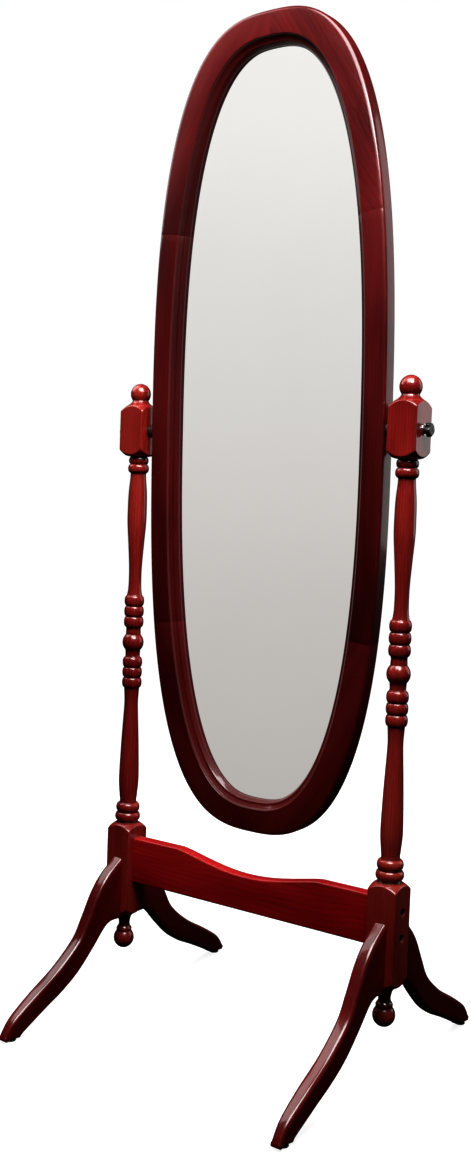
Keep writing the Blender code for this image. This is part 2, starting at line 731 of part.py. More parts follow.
def make_knobs():
    """Clamping knobs: a lobed plastic head on a threaded stud, over a steel washer."""
    washer_base = POST_X + BLOCK_FACE + GAP
    knob_base = washer_base + WASHER_THICKNESS + GAP
    tall = KNOB_HEIGHT

    def along_pivot(x):
        return Matrix.Translation((x, 0, PIVOT_HEIGHT)) @ ALONG_X

    washer = turned("washer", ring_profile(BORE_RADIUS, WASHER_RADIUS, WASHER_THICKNESS), 20)
    copy_pair(washer, "knob_washer", along_pivot(washer_base), ZINC, 0.35, 1.0)

    knob = turned("knob", [
        (0.0, tall), (0.0060, tall), (0.0088, tall - 0.0008), (0.0100, tall - 0.0026),
        (0.0100, 0.0046), (0.0088, 0.0032), (0.0060, 0.0028), (0.0060, 0.0),
        (BORE_RADIUS, 0.0), (BORE_RADIUS, STUD_END), (0.0, STUD_END),
    ], 20)
    bm = bmesh.new()
    spread, scallop = 0.0122, 0.0046
    for i in range(KNOB_LOBES):
        angle = math.tau * (i + 0.5) / KNOB_LOBES
        x, y = spread * math.cos(angle), spread * math.sin(angle)
        add_cylinder(bm, scallop, (x, y, 0.0029), (x, y, 0.02), 10)
    boolean(knob, cutter_object("knob_scallops", bm))
    copy_pair(knob, "knob", along_pivot(knob_base), BLACK_PLASTIC, 0.35)

    start = OVAL_HALF_WIDTH - INSERT_LENGTH + 0.001
    end = knob_base + STUD_END - GAP
    chamfer = 0.0005
    stud = turned("stud", [
        (0.0, end - start), (STUD_RADIUS - chamfer, end - start),
        (STUD_RADIUS, end - start - chamfer), (STUD_RADIUS, chamfer),
        (STUD_RADIUS - chamfer, 0.0), (0.0, 0.0),
    ], 12)
    copy_pair(stud, "knob_stud", along_pivot(start), ZINC, 0.3, 1.0)


def main():
    make_posts()
    make_rail()
    make_rail_hardware()
    make_legs()
    make_leg_fasteners()
    pivot = mirror_pivot()
    make_frame(pivot)
    make_sheets(pivot)
    make_clips(pivot)
    make_pivots(pivot)
    make_knobs()


main()
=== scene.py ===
"""The looks of the cheval floor mirror: lacquered cherry, silvered glass and its small hardware."""

import json
import math

import bmesh
import bpy
import numpy as np
from mathutils import Matrix, Vector


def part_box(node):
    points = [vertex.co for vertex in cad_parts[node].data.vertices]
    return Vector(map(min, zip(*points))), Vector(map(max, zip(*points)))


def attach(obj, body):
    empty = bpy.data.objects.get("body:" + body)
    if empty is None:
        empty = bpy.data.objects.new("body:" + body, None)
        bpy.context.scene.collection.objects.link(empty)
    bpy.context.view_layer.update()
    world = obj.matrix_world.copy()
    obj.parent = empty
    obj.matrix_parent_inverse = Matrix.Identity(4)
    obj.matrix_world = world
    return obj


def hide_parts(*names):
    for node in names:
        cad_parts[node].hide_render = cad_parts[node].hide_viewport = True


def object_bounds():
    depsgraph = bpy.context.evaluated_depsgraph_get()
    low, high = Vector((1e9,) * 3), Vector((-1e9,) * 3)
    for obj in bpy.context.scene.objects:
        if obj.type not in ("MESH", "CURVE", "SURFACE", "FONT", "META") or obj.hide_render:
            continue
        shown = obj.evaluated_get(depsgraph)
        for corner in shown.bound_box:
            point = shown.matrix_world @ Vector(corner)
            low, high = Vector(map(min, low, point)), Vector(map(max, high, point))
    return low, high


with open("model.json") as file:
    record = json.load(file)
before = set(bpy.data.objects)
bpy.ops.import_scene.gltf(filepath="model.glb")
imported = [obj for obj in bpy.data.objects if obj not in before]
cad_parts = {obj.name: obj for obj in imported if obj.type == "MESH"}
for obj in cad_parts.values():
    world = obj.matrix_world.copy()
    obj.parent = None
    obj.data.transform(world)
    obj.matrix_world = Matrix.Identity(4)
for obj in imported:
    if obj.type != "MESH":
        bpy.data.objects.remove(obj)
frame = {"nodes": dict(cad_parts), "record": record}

cad_low, cad_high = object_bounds()

# ---- places taken from the frame
JOINTS = {joint["name"]: joint for joint in frame["record"]["behaviour"]["joints"]}
PIVOT = Vector(JOINTS["mirror_tilt"]["pos_m"])
REST_TILT = math.radians(1.25)
TILT = Matrix.Translation(PIVOT) @ Matrix.Rotation(REST_TILT, 4, "X")
HALF_TURN = Matrix.Rotation(math.pi, 4, "Z")
ALONG_X = Matrix.Rotation(math.radians(90), 4, "Y")


def middle(node):
    low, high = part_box(node)
    return (low + high) / 2


def size(node):
    low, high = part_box(node)
    return high - low


POST_X = middle("right_post").x
BLOCK = size("right_post").x / 2  # half the side of the square stock
GAP = 0.0002  # clearance that the fine pieces keep
SIDES = (("right", Matrix.Identity(4)), ("left", HALF_TURN))
LEVELS = ("upper", "lower")  # the two bolts at each end of the rail
BOLT_HOLE = 0.0031  # radius of a rail bolt's hole
BOLT_HEAD = 0.0030  # height of a rail bolt's head
STUD_HOLE = 0.0033  # radius of the holes that the knobs' studs pass


# ---- mesh helpers
def through(points, steps):
    """A smooth line through the given points (Catmull-Rom), steps per stretch."""
    p = [np.array(point, float) for point in points]
    p = [2 * p[0] - p[1]] + p + [2 * p[-1] - p[-2]]
    line = []
    for a, b, c, d in zip(p, p[1:], p[2:], p[3:]):
        for t in np.arange(steps) / steps:
            line.append(0.5 * (2 * b + (c - a) * t + (2 * a - 5 * b + 4 * c - d) * t ** 2
                               + (3 * b - a - 3 * c + d) * t ** 3))
    line.append(p[-2])
    return [tuple(point) for point in line]


def arc(radius, height, across, up, start, end, steps):
    """An elliptical arc about (radius, height), between two angles in degrees."""
    line = []
    for i in range(steps + 1):
        angle = math.radians(start + (end - start) * i / steps)
        line.append((radius + across * math.cos(angle), height + up * math.sin(angle)))
    return line


def eased(corners, steps=5):
    """A line of (x, y, fillet) corners, each one rounded to its fillet."""
    line = []
    for i, (x, y, fillet) in enumerate(corners):
        here = Vector((x, y))
        if not fillet or i in (0, len(corners) - 1):
            line.append((x, y))
            continue
        back = Vector(corners[i - 1][:2]) - here
        ahead = Vector(corners[i + 1][:2]) - here
        cut = min(fillet / math.tan(back.angle(ahead) / 2), 0.48 * back.length, 0.48 * ahead.length)
        start, end = here + back.normalized() * cut, here + ahead.normalized() * cut
        for k in range(steps + 1):
            t = k / steps
            line.append(tuple((1 - t) ** 2 * start + 2 * t * (1 - t) * here + t * t * end))
    return line


def mesh_of(name, vertices, faces):
    mesh = bpy.data.meshes.new(name)
    mesh.from_pydata([tuple(map(float, v)) for v in vertices], [], faces)
    return mesh


def even_angles(count):
    return np.arange(count) * math.tau / count


def turned(name, profile, angles, shape=None):
    """A body turned about Z from a (radius, height) profile, top first; a shape bends its radius."""
    vertices, faces, rows = [], [], []
    closed = profile[0] == profile[-1]
    line = profile[:-1] if closed else profile
    for radius, height in line:
        if radius <= 0:
            rows.append([len(vertices)] * len(angles))
            vertices.append((0, 0, height))
            continue
        rows.append(list(range(len(vertices), len(vertices) + len(angles))))
        for i, angle in enumerate(angles):
            r = shape(radius, height, i) if shape else radius
            vertices.append((r * math.cos(angle), r * math.sin(angle), height))
    for upper, lower in zip(rows, rows[1:] + rows[:1] if closed else rows[1:]):
        for i in range(len(angles)):
            j = (i + 1) % len(angles)
            quad = (upper[i], lower[i], lower[j], upper[j])
            face = tuple(dict.fromkeys(quad))
            if len(face) > 2:
                faces.append(face)
    return mesh_of(name, vertices, faces)


def plate(name, outline, half, radius, steps=6):
    """A board of the outline's shape, its edges rounded, and less so where it is narrow."""
    p = np.array(outline, float)
    area = np.sum(p[:, 0] * np.roll(p[:, 1], -1) - p[:, 1] * np.roll(p[:, 0], -1))
    if area < 0:
        p = p[::-1]
    along = np.roll(p, -1, 0) - np.roll(p, 1, 0)
    along /= np.linalg.norm(along, axis=1)[:, None]
    inward = np.stack((-along[:, 1], along[:, 0]), 1)
    reach = np.empty(len(p))
    for i in range(len(p)):
        apart = p - p[i]
        ahead = apart @ inward[i]
        facing = ahead > 1e-5
        balls = np.sum(apart[facing] ** 2, 1) / (2 * ahead[facing])
        reach[i] = min(radius, 0.8 * balls.min())
    for _ in range(6):
        reach = np.minimum(reach, (np.roll(reach, 1) + np.roll(reach, -1) + reach) / 3)
    rings = [(1.15, 1.0, 0.0)]
    for k in range(steps + 1):
        angle = math.pi / 2 * k / steps
        rings.append((1 - math.sin(angle), 1.0, 1 - math.cos(angle)))
    rings += [(inset, -1.0, drop) for inset, _, drop in reversed(rings)]
    vertices = []
    for inset, side, drop in rings:
        flat = p + inward * (reach * inset)[:, None]
        x = side * (half - reach * drop)
        vertices += [(x[i], flat[i, 0], flat[i, 1]) for i in range(len(p))]
    n = len(p)
    faces = [tuple(range(n)), tuple(reversed(range(n * (len(rings) - 1), n * len(rings))))]
    for ring in range(len(rings) - 1):
        for i in range(n):
            j = (i + 1) % n
            a = ring * n
            faces.append((a + i, a + n + i, a + n + j, a + j))
    return mesh_of(name, vertices, faces)


def resampled(points, step):
    """The closed outline, with points added so that no side is longer than step."""
    line = []
    for a, b in zip(points, points[1:] + points[:1]):
        a, b = np.array(a, float), np.array(b, float)
        pieces = max(1, math.ceil(np.linalg.norm(b - a) / step))
        line += [tuple(a + (b - a) * k / pieces) for k in range(pieces)]
    return line


def cut(mesh, bm, operation="DIFFERENCE"):
    """The mesh after a Boolean with the body in bm."""
    tool, body = linked("tool", mesh_from("tool", bm)), linked("body", mesh)
    modifier = body.modifiers.new("cut", "BOOLEAN")
    modifier.operation = operation
    modifier.solver = "EXACT"
    modifier.object = tool
    bpy.context.view_layer.update()
    result = bpy.data.meshes.new_from_object(
        body.evaluated_get(bpy.context.evaluated_depsgraph_get())
    )
    for obj in (tool, body):
        bpy.data.objects.remove(obj)
    if not result.polygons:
        raise RuntimeError(f"nothing is left of {mesh.name} after the cut")
    return result


def bored(mesh, radius, start, end, segments=48, operation="DIFFERENCE"):
    """The mesh with a round hole between two points, or, with INTERSECT, the plug out of it."""
    start, end = Vector(start), Vector(end)
    turn = (end - start).to_track_quat("Z", "Y").to_matrix().to_4x4()
    tool = bmesh.new()
    bmesh.ops.create_cone(
        tool, cap_ends=True, segments=segments, radius1=radius, radius2=radius,
        depth=(end - start).length, matrix=Matrix.Translation((start + end) / 2) @ turn,
    )
    return cut(mesh, tool, operation)


def sawn(mesh, low, high):
    """The mesh without what lies in a box."""
    low, high = Vector(low), Vector(high)
    tool = bmesh.new()
    bmesh.ops.create_cube(
        tool, size=1.0,
        matrix=Matrix.Translation((low + high) / 2) @ Matrix.Diagonal((high - low).to_4d()),
    )
    return cut(mesh, tool)


def moved(mesh, matrix):
    copy = mesh.copy()
    copy.transform(matrix)
    return copy


def shaded(mesh, angle=35):
    mesh.shade_smooth()
    mesh.set_sharp_from_angle(angle=math.radians(angle))
    return mesh


def coordinates(mesh):
    co = np.empty(len(mesh.vertices) * 3)
    mesh.vertices.foreach_get("co", co)
    return co.reshape(-1, 3)


def mark(mesh, name, values, kind="FLOAT", field="value"):
    """Stores a value for each vertex, for the materials to read."""
    if name in mesh.attributes:
        mesh.attributes.remove(mesh.attributes[name])
    attribute = mesh.attributes.new(name, kind, "POINT")
    attribute.data.foreach_set(field, np.ascontiguousarray(values, np.float32).ravel())


def mark_grain(mesh, local):
    """Stores the timber's own coordinates, with the grain running along their Z."""
    mark(mesh, "grain", local, "FLOAT_VECTOR", "vector")


def linked(name, data):
    """A new object in the scene."""
    obj = bpy.data.objects.new(name, data)
    bpy.context.scene.collection.objects.link(obj)
    return obj


def mesh_from(name, bm):
    mesh = bpy.data.meshes.new(name)
    bm.to_mesh(mesh)
    bm.free()
    return mesh


def piece(name, mesh, material, slot, body, *nodes):
    """Adds a finished piece that rides on a body and stands for the CAD nodes."""
    mesh.materials.clear()
    mesh.materials.append(material)
    obj = linked(name, mesh)
    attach(obj, body)
    if nodes:
        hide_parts(*nodes)
    return obj


# ---- materials
class Tree:
    """A node tree under construction."""

    def __init__(self, tree):
        self.tree = tree

    def feed(self, socket, value):
        """Links a socket, or sets a value."""
        if isinstance(value, bpy.types.NodeSocket):
            self.tree.links.new(value, socket)
        else:
            socket.default_value = value

    def add(self, kind, **settings):
        """A node whose inputs are given by position or name."""
        inputs = settings.pop("inputs", {})
        node = self.tree.nodes.new(kind)
        for key, value in settings.items():
            setattr(node, key, value)
        for key, value in inputs.items():
            self.feed(node.inputs[key], value)
        return node


class Nodes(Tree):
    """A Principled material under construction."""

    def __init__(self, name, roughness=0.5, metallic=0.0, specular=0.5, ior=1.5):
        self.material = bpy.data.materials.new(name)
        self.material.use_nodes = True
        super().__init__(self.material.node_tree)
        self.shader = self.tree.nodes["Principled BSDF"]
        self.set("Roughness", roughness)
        self.set("Metallic", metallic)
        self.set("Specular IOR Level", specular)
        self.set("IOR", ior)

    def set(self, socket, value):
        self.feed(self.shader.inputs[socket], value)

    def attribute(self, name, output):
        return self.add("ShaderNodeAttribute", attribute_name=name).outputs[output]

    def place(self):
        return self.add("ShaderNodeTexCoord").outputs["Object"]

    def scaled(self, vector, scale, location=(0, 0, 0)):
        inputs = {"Vector": vector, "Scale": scale, "Location": location}
        return self.add("ShaderNodeMapping", inputs=inputs).outputs["Vector"]

    def noise(self, vector, scale, detail=3.0, roughness=0.5):
        inputs = {"Vector": vector, "Scale": scale, "Detail": detail, "Roughness": roughness}
        return self.add("ShaderNodeTexNoise", inputs=inputs).outputs[0]

    def math(self, operation, a, b=0.0, clamp=False):
        inputs = {0: a, 1: b}
        return self.add("ShaderNodeMath", operation=operation, use_clamp=clamp,
                        inputs=inputs).outputs[0]

    def times(self, a, b):
        return self.math("MULTIPLY", a, b)

    def plus(self, a, b):
        return self.math("ADD", a, b)

    def ramp(self, factor, stops):
        """Colours or greys at places between 0 and 1."""
        node = self.add("ShaderNodeValToRGB", inputs={0: factor})
        elements = node.color_ramp.elements
        while len(elements) < len(stops):
            elements.new(0.5)
        for element, (position, colour) in zip(elements, stops):
            element.position = position
            if isinstance(colour, (int, float)):
                colour = (colour,) * 3
            element.color = (*colour, 1.0)
        return node.outputs["Color"]

    def spread(self, factor, low, high):
        """A number between low and high as the factor goes from 0 to 1."""
        inputs = {"Value": factor, "To Min": low, "To Max": high}
        return self.add("ShaderNodeMapRange", inputs=inputs).outputs["Result"]

    def blend(self, kind, factor, a, b):
        node = self.add("ShaderNodeMix", data_type="RGBA", blend_type=kind)
        for socket, value in ((node.inputs[0], factor), (node.inputs[6], a), (node.inputs[7], b)):
            self.feed(socket, (*value, 1.0) if isinstance(value, tuple) else value)
        return node.outputs[2]

    def bump(self, height, distance, strength):
        inputs = {"Height": height, "Distance": distance, "Strength": strength}
        self.set("Normal", self.add("ShaderNodeBump", inputs=inputs).outputs["Normal"])


def cherry(name, deep, body, light, coat=0.9):
    """Stained, lacquered hardwood. Its tones follow the rings, the fibres and the stain's cloud; a
    mark also mixes painted light onto crests and painted shade into hollows, which on the posts'
    turning is partly stain that pools in the valleys.
    """
    m = Nodes(name, specular=0.22)
    grain = m.attribute("grain", "Vector")
    tone = m.attribute("tone", "Fac")
    stain_and_painted_light = m.attribute("stain_and_painted_light", "Fac")
    cloud = m.noise(m.scaled(grain, (1.0, 1.0, 0.22)), 16.0, 2.0)
    bend = m.add("ShaderNodeTexNoise", inputs={
        "Vector": m.scaled(grain, (1.0, 1.0, 0.30)), "Scale": 11.0, "Detail": 2.0}).outputs[1]
    shifted = m.add("ShaderNodeVectorMath", operation="SUBTRACT",
                    inputs={0: bend, 1: (0.5, 0.5, 0.5)}).outputs[0]
    shifted = m.add("ShaderNodeVectorMath", operation="MULTIPLY_ADD",
                    inputs={0: shifted, 1: (0.028, 0.028, 0.0), 2: grain}).outputs[0]
    rings = m.add("ShaderNodeTexWave", wave_type="RINGS", rings_direction="Z", wave_profile="SAW",
                  inputs={"Vector": m.scaled(shifted, (1, 1, 1), (0.045, 0.062, 0)),
                          "Scale": 78.0, "Distortion": 0.0}).outputs["Fac"]
    fibres = m.noise(m.scaled(grain, (1.0, 1.0, 0.018)), 620.0, 5.0, 0.62)
    pores = m.ramp(m.noise(m.scaled(grain, (1.0, 1.0, 0.045)), 2300.0, 1.0),
                   [(0.0, 0.0), (0.62, 0.0), (0.70, 1.0)])
    figure = m.times(rings, 0.13)
    figure = m.plus(figure, m.times(fibres, 0.50))
    figure = m.plus(figure, m.times(cloud, 0.95))
    figure = m.spread(figure, -0.85, 1.05)
    colour = m.ramp(figure, [(0.0, deep), (0.5, body), (1.0, light)])
    colour = m.blend("MULTIPLY", m.times(pores, 0.30), colour, (0.25, 0.16, 0.16))
    # Painted light and shade: positive marks mix towards the light tone, negative ones towards the
    # deep tone; on the posts partly stain thinning on crests and pooling in valleys.
    crest_stain_and_light = m.times(m.math("MAXIMUM", stain_and_painted_light, 0.0), 0.45)
    colour = m.blend("MIX", crest_stain_and_light, colour, light)
    hollow = m.times(m.math("MAXIMUM", m.times(stain_and_painted_light, -1.0), 0.0), 0.75)
    colour = m.blend("MIX", hollow, colour, deep)
    grey = m.add("ShaderNodeCombineColor", inputs={0: tone, 1: tone, 2: tone}).outputs[0]
    m.set("Base Color", m.blend("MULTIPLY", 1.0, colour, grey))
    m.set("Roughness", m.spread(m.plus(cloud, m.times(pores, 0.3)),
                                0.25, 0.42))
    m.set("Coat Weight", coat)
    m.set("Coat Roughness", 0.09)
    m.set("Coat IOR", 1.45)
    m.bump(m.math("SUBTRACT", m.times(fibres, 0.5), pores), 0.00006, 0.6)
    return m.material


def metal(name, colour, roughness):
    """Plated or drawn metal, with fine drawing marks and cloudy tarnish."""
    m = Nodes(name, metallic=1.0)
    place = m.place()
    cloud = m.noise(place, 160.0, 3.0)
    drawn = m.noise(m.scaled(place, (1.0, 1.0, 0.12)), 2400.0, 3.0)
    darker = tuple(0.62 * c for c in colour)
    m.set("Base Color", m.ramp(cloud, [(0.30, darker), (0.68, colour)]))
    m.set("Roughness", m.spread(m.plus(m.times(drawn, 0.5),
                                       m.times(cloud, 0.5)),
                                roughness - 0.12, roughness + 0.12))
    m.bump(drawn, 0.00002, 0.5)
    return m.material


def plastic(name, colour, lighter, roughness):
    """Moulded plastic with a fine spark-eroded texture, a little scuffed."""
    m = Nodes(name, specular=0.4)
    place = m.place()
    fine = m.noise(place, 2600.0, 2.0)
    scuffs = m.ramp(m.noise(m.scaled(place, (1.0, 0.35, 1.0)), 420.0, 4.0, 0.7),
                    [(0.0, 0.0), (0.58, 0.0), (0.74, 1.0)])
    m.set("Base Color", m.blend("MIX", m.times(scuffs, 0.5), colour, lighter))
    m.set("Roughness", m.spread(m.plus(m.times(fine, 0.4), scuffs),
                                roughness - 0.06, roughness + 0.18))
    m.bump(fine, 0.00003, 0.7)
    return m.material


def silvered_glass(name):
    """Back-silvered float glass: a clean reflection, barely hazed, its tint clouded a little."""
    m = Nodes(name, metallic=1.0)
    place = m.place()
    haze = m.noise(place, 7.0, 4.0, 0.6)
    m.set("Base Color", m.ramp(haze, [(0.25, (0.925, 0.925, 0.920)), (0.75, (0.940, 0.940, 0.936))]))
    m.set("Roughness", m.spread(haze, 0.0, 0.035))
    return m.material


def hardboard(name):
    """Pressed fibreboard, screen side out."""
    m = Nodes(name, specular=0.25)
    place = m.place()
    fibre = m.noise(place, 900.0, 6.0, 0.7)
    patches = m.noise(place, 24.0, 3.0)
    weave = []
    for x, y, z in ((1, 0, 0), (0, 0, 1)):
        weave.append(m.add("ShaderNodeTexWave", wave_type="BANDS", bands_direction="X" if x else "Z",
                           inputs={"Vector": place, "Scale": 190.0, "Distortion": 0.6,
                                   "Detail": 1.0, "Detail Scale": 3.0}).outputs["Fac"])
    screen = m.math("MAXIMUM", *weave)
    m.set("Base Color", m.blend(
        "MULTIPLY", m.times(screen, 0.25),
        m.ramp(m.plus(m.times(fibre, 0.7), m.times(patches, 0.3)),
               [(0.30, (0.105, 0.052, 0.024)), (0.50, (0.205, 0.112, 0.055)),
                (0.72, (0.330, 0.205, 0.115))]), (0.45, 0.40, 0.36)))
    m.set("Roughness", m.spread(fibre, 0.65, 0.95))
    m.bump(m.plus(screen, m.times(fibre, 0.6)), 0.00025, 0.9)
    return m.material


def beech(name):
    """Bare dowel wood: pale, with short flecks along the grain."""
    m = Nodes(name, specular=0.3)
    place = m.scaled(m.place(), (1.0, 0.05, 1.0))
    fleck = m.noise(place, 1400.0, 4.0, 0.6)
    m.set("Base Color", m.ramp(fleck, [(0.30, (0.40, 0.25, 0.13)), (0.55, (0.62, 0.43, 0.26)),
                                       (0.80, (0.72, 0.54, 0.36))]))
    m.set("Roughness", m.spread(fleck, 0.55, 0.80))
    m.bump(fleck, 0.00008, 0.7)
    return m.material


POST_WOOD = cherry("cherry_posts", (0.050, 0.0014, 0.0012), (0.215, 0.0095, 0.0075),
                   (0.360, 0.0330, 0.0210))
LEG_WOOD = cherry("cherry_legs", (0.040, 0.0004, 0.0006), (0.110, 0.0012, 0.0014),
                  (0.180, 0.0060, 0.0050))
RAIL_WOOD = cherry("cherry_rail", (0.070, 0.0005, 0.0008), (0.270, 0.0016, 0.0032),
                   (0.480, 0.0085, 0.0100), coat=0.6)
FRAME_WOOD = cherry("cherry_frame", (0.018, 0.0004, 0.0006), (0.056, 0.0010, 0.0014),
                    (0.105, 0.0040, 0.0045), coat=0.60)
SILVER = silvered_glass("silvered_glass")
BOARD = hardboard("hardboard")
BEECH = beech("beech_dowel")
ZINC = metal("zinc_plate", (0.66, 0.66, 0.64), 0.30)
BLACK_STEEL = metal("blackened_steel", (0.060, 0.060, 0.064), 0.38)
BRASSED = metal("brassed_steel", (0.74, 0.54, 0.26), 0.32)
KNOB_PLASTIC = plastic("black_plastic", (0.010, 0.010, 0.011), (0.030, 0.030, 0.032), 0.30)
NYLON = plastic("brown_nylon", (0.020, 0.009, 0.008), (0.050, 0.028, 0.024), 0.45)


def finish_wood(mesh, local, tone=1.0, stain_and_painted_light=0.0, angle=35):
    """Stores what the timber's material reads, and shades the mesh."""
    mark_grain(mesh, local)
    count = len(mesh.vertices)
    mark(mesh, "tone", np.broadcast_to(tone, count))
    # The mark for painted light and shade, partly stain on the posts: positive lightens, negative
    # darkens.
    mark(mesh, "stain_and_painted_light", np.broadcast_to(stain_and_painted_light, count))
    return shaded(mesh, angle)


# ---- posts
ARRIS = 0.0020  # rounding of the block's corners
SOFTNESS = 0.0014  # rounding where the turning meets the block's faces
PAST_CORNER = 0.034  # a turned radius that leaves the square stock whole


def bead(height, radius, half, valley):
    """A rounded ring of the turning, between two narrow valleys."""
    return arc(valley, height, radius - valley, half, 88, -88, 14)


def turning():
    """The post's outline from the finial down to the drop, as (radius, height)."""
    line = arc(0.0, 0.9635, 0.0158, 0.0162, 90, -37, 26)
    line += through([(0.0126, 0.9525), (0.0134, 0.9508), (0.0155, 0.9485), (0.0186, 0.9461),
                     (0.0225, 0.9435), (0.0280, 0.9388), (PAST_CORNER, 0.9325)], 7)
    line += through([(PAST_CORNER, 0.8780), (0.0280, 0.8722), (0.0225, 0.8675), (0.0178, 0.8657),
                     (0.0136, 0.8650)], 7)
    line += bead(0.8590, 0.0155, 0.0056, 0.0128) + bead(0.8463, 0.0165, 0.0066, 0.0128)
    line += through([
        (0.0122, 0.8380), (0.0127, 0.8290), (0.0145, 0.8090), (0.0151, 0.7850), (0.0149, 0.7600),
        (0.0125, 0.7260), (0.0103, 0.6900), (0.0102, 0.6620), (0.0112, 0.6500),
        (0.0124, 0.6446)], 6)
    for height in (0.6363, 0.6195, 0.6027):
        line += bead(height, 0.0156, 0.0082, 0.0124)
    line += through([(0.0122, 0.5942), (0.0115, 0.5915), (0.0117, 0.5870)], 4)
    line += arc(0.0, 0.5700, 0.0168, 0.0172, 45, -45, 22)
    line += through([(0.0116, 0.5525), (0.0115, 0.5490), (0.0122, 0.5465)], 4)
    for height in (0.5382, 0.5220, 0.5056):
        line += bead(height, 0.0156, 0.0080, 0.0124)
    line += through([
        (0.0122, 0.4972), (0.0116, 0.4890), (0.0110, 0.4700), (0.0130, 0.4300), (0.0147, 0.3920),
        (0.0158, 0.3500), (0.0142, 0.3260), (0.0132, 0.3165), (0.0136, 0.3120)], 7)
    line += bead(0.3042, 0.0188, 0.0073, 0.0142) + bead(0.2896, 0.0200, 0.0072, 0.0150)
    line += through([(0.0156, 0.2822), (0.0168, 0.2808), (0.0190, 0.2792), (0.0225, 0.2770),
                     (0.0280, 0.2728), (PAST_CORNER, 0.2668)], 7)
    line += through([(PAST_CORNER, 0.1455), (0.0280, 0.1396), (0.0225, 0.1350), (0.0165, 0.1312),
                     (0.0125, 0.1284), (0.0104, 0.1240), (0.0092, 0.1190), (0.0088, 0.1150),
                     (0.0090, 0.1122)], 6)
    line += through([(0.0096, 0.1102), (0.0113, 0.1080), (0.0123, 0.1056), (0.0120, 0.1036),
                     (0.0118, 0.1024)], 5)
    line += arc(0.0, 0.0905, 0.0162, 0.0166, 42, -90, 26)
    return line


def square_angles(face=34, corner=5):
    """Angles round the post, closer together at the square stock's corners."""
    half = math.atan2(BLOCK - ARRIS, BLOCK)
    quarter = list(np.linspace(-half, half, face)[:-1])
    quarter += list(np.linspace(half, math.pi / 2 - half, corner)[:-1])
    return np.array([a + k * math.pi / 2 for k in range(4) for a in quarter])


def square_radius(angle):
    """Distance from the axis to the square stock's rounded side."""
    turn = (angle + math.pi / 4) % (math.pi / 2) - math.pi / 4
    c, s = math.cos(turn), abs(math.sin(turn))
    core = BLOCK - ARRIS
    if s * BLOCK <= core * c:
        return BLOCK / c
    reach = core * (c + s)
    return reach + math.sqrt(max(0.0, reach ** 2 - 2 * core ** 2 + ARRIS ** 2))


def softened_least(a, b, width):
    """The smaller of two numbers, blended where they are within width of each other."""
    blend = min(1.0, max(0.0, 0.5 + 0.5 * (b - a) / width))
    return b + (a - b) * blend - width * blend * (1 - blend)


def post_mesh():
    """A post about its own axis, with the holes for the knob's stud and the rail's bolts."""
    line = turning()
    angles = square_angles()
    flats = [square_radius(a) for a in angles]
    mesh = turned("post", line, angles,
                  lambda r, z, i: softened_least(r, flats[i], min(SOFTNESS, r)))
    stud = size("right_knob_stud").z / 2 + GAP
    mesh = bored(mesh, stud, (-2 * BLOCK, 0, PIVOT.z), (2 * BLOCK, 0, PIVOT.z))
    for level in LEVELS:
        low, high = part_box("right_rail_bolt_" + level)
        seat = high.x - BOLT_HEAD - POST_X
        height = (low.z + high.z) / 2
        mesh = bored(mesh, BOLT_HOLE, (-2 * BLOCK, 0, height), (seat + 0.001, 0, height))
        sink = (high.z - low.z) / 2 + 0.0003
        mesh = bored(mesh, sink, (seat - GAP, 0, height), (2 * BLOCK, 0, height))
    return mesh


def post_stain_and_painted_light(mesh, line):
    """Positive on the crests of the turning, negative in its valleys, nought on the block: painted
    light on the crests and painted shade in the valleys, partly stain that pools there.
    """
    rows = np.array(line)
    order = np.argsort(rows[:, 1])
    heights, radii = rows[order, 1], np.minimum(rows[order, 0], BLOCK)
    even = np.arange(heights[0], heights[-1], 0.0005)
    outline = np.interp(even, heights, radii)
    window = np.hanning(23)
    padded = np.pad(outline, 11, mode="edge")
    broad = np.convolve(padded, window / window.sum(), mode="valid")
    co = coordinates(mesh)
    stain_and_painted_light = np.interp(co[:, 2], even, np.clip((outline - broad) / 0.0011, -1, 1))
    on_block = np.interp(co[:, 2], even, outline) > BLOCK - 0.0004
    return np.where(on_block, 0.0, stain_and_painted_light)


def make_posts():
    master = post_mesh()
    # Painted light on the turning's crests and painted shade in its valleys, partly stain.
    stain_and_painted_light = post_stain_and_painted_light(master, turning())
    for (side, turn), x, seed in zip(SIDES, (POST_X, -POST_X), (0.31, 1.87)):
        mesh = moved(master, Matrix.Translation((x, 0, 0)) @ turn)
        local = coordinates(master) + (seed, 0.4 * seed, 3.0 * seed)
        finish_wood(mesh, local, 1.0, stain_and_painted_light, 40)
        piece(f"{side}_post_turned", mesh, POST_WOOD, "cherry_wood", "stand", side + "_post")


# ---- stretcher rail
RAIL_DIP = 0.0185  # depth of the dip in the rail's top edge
RAIL_DIP_HALF = 0.128  # half the length of the dip
RAIL_EDGE = 0.0030  # rounding of the rail's long edges


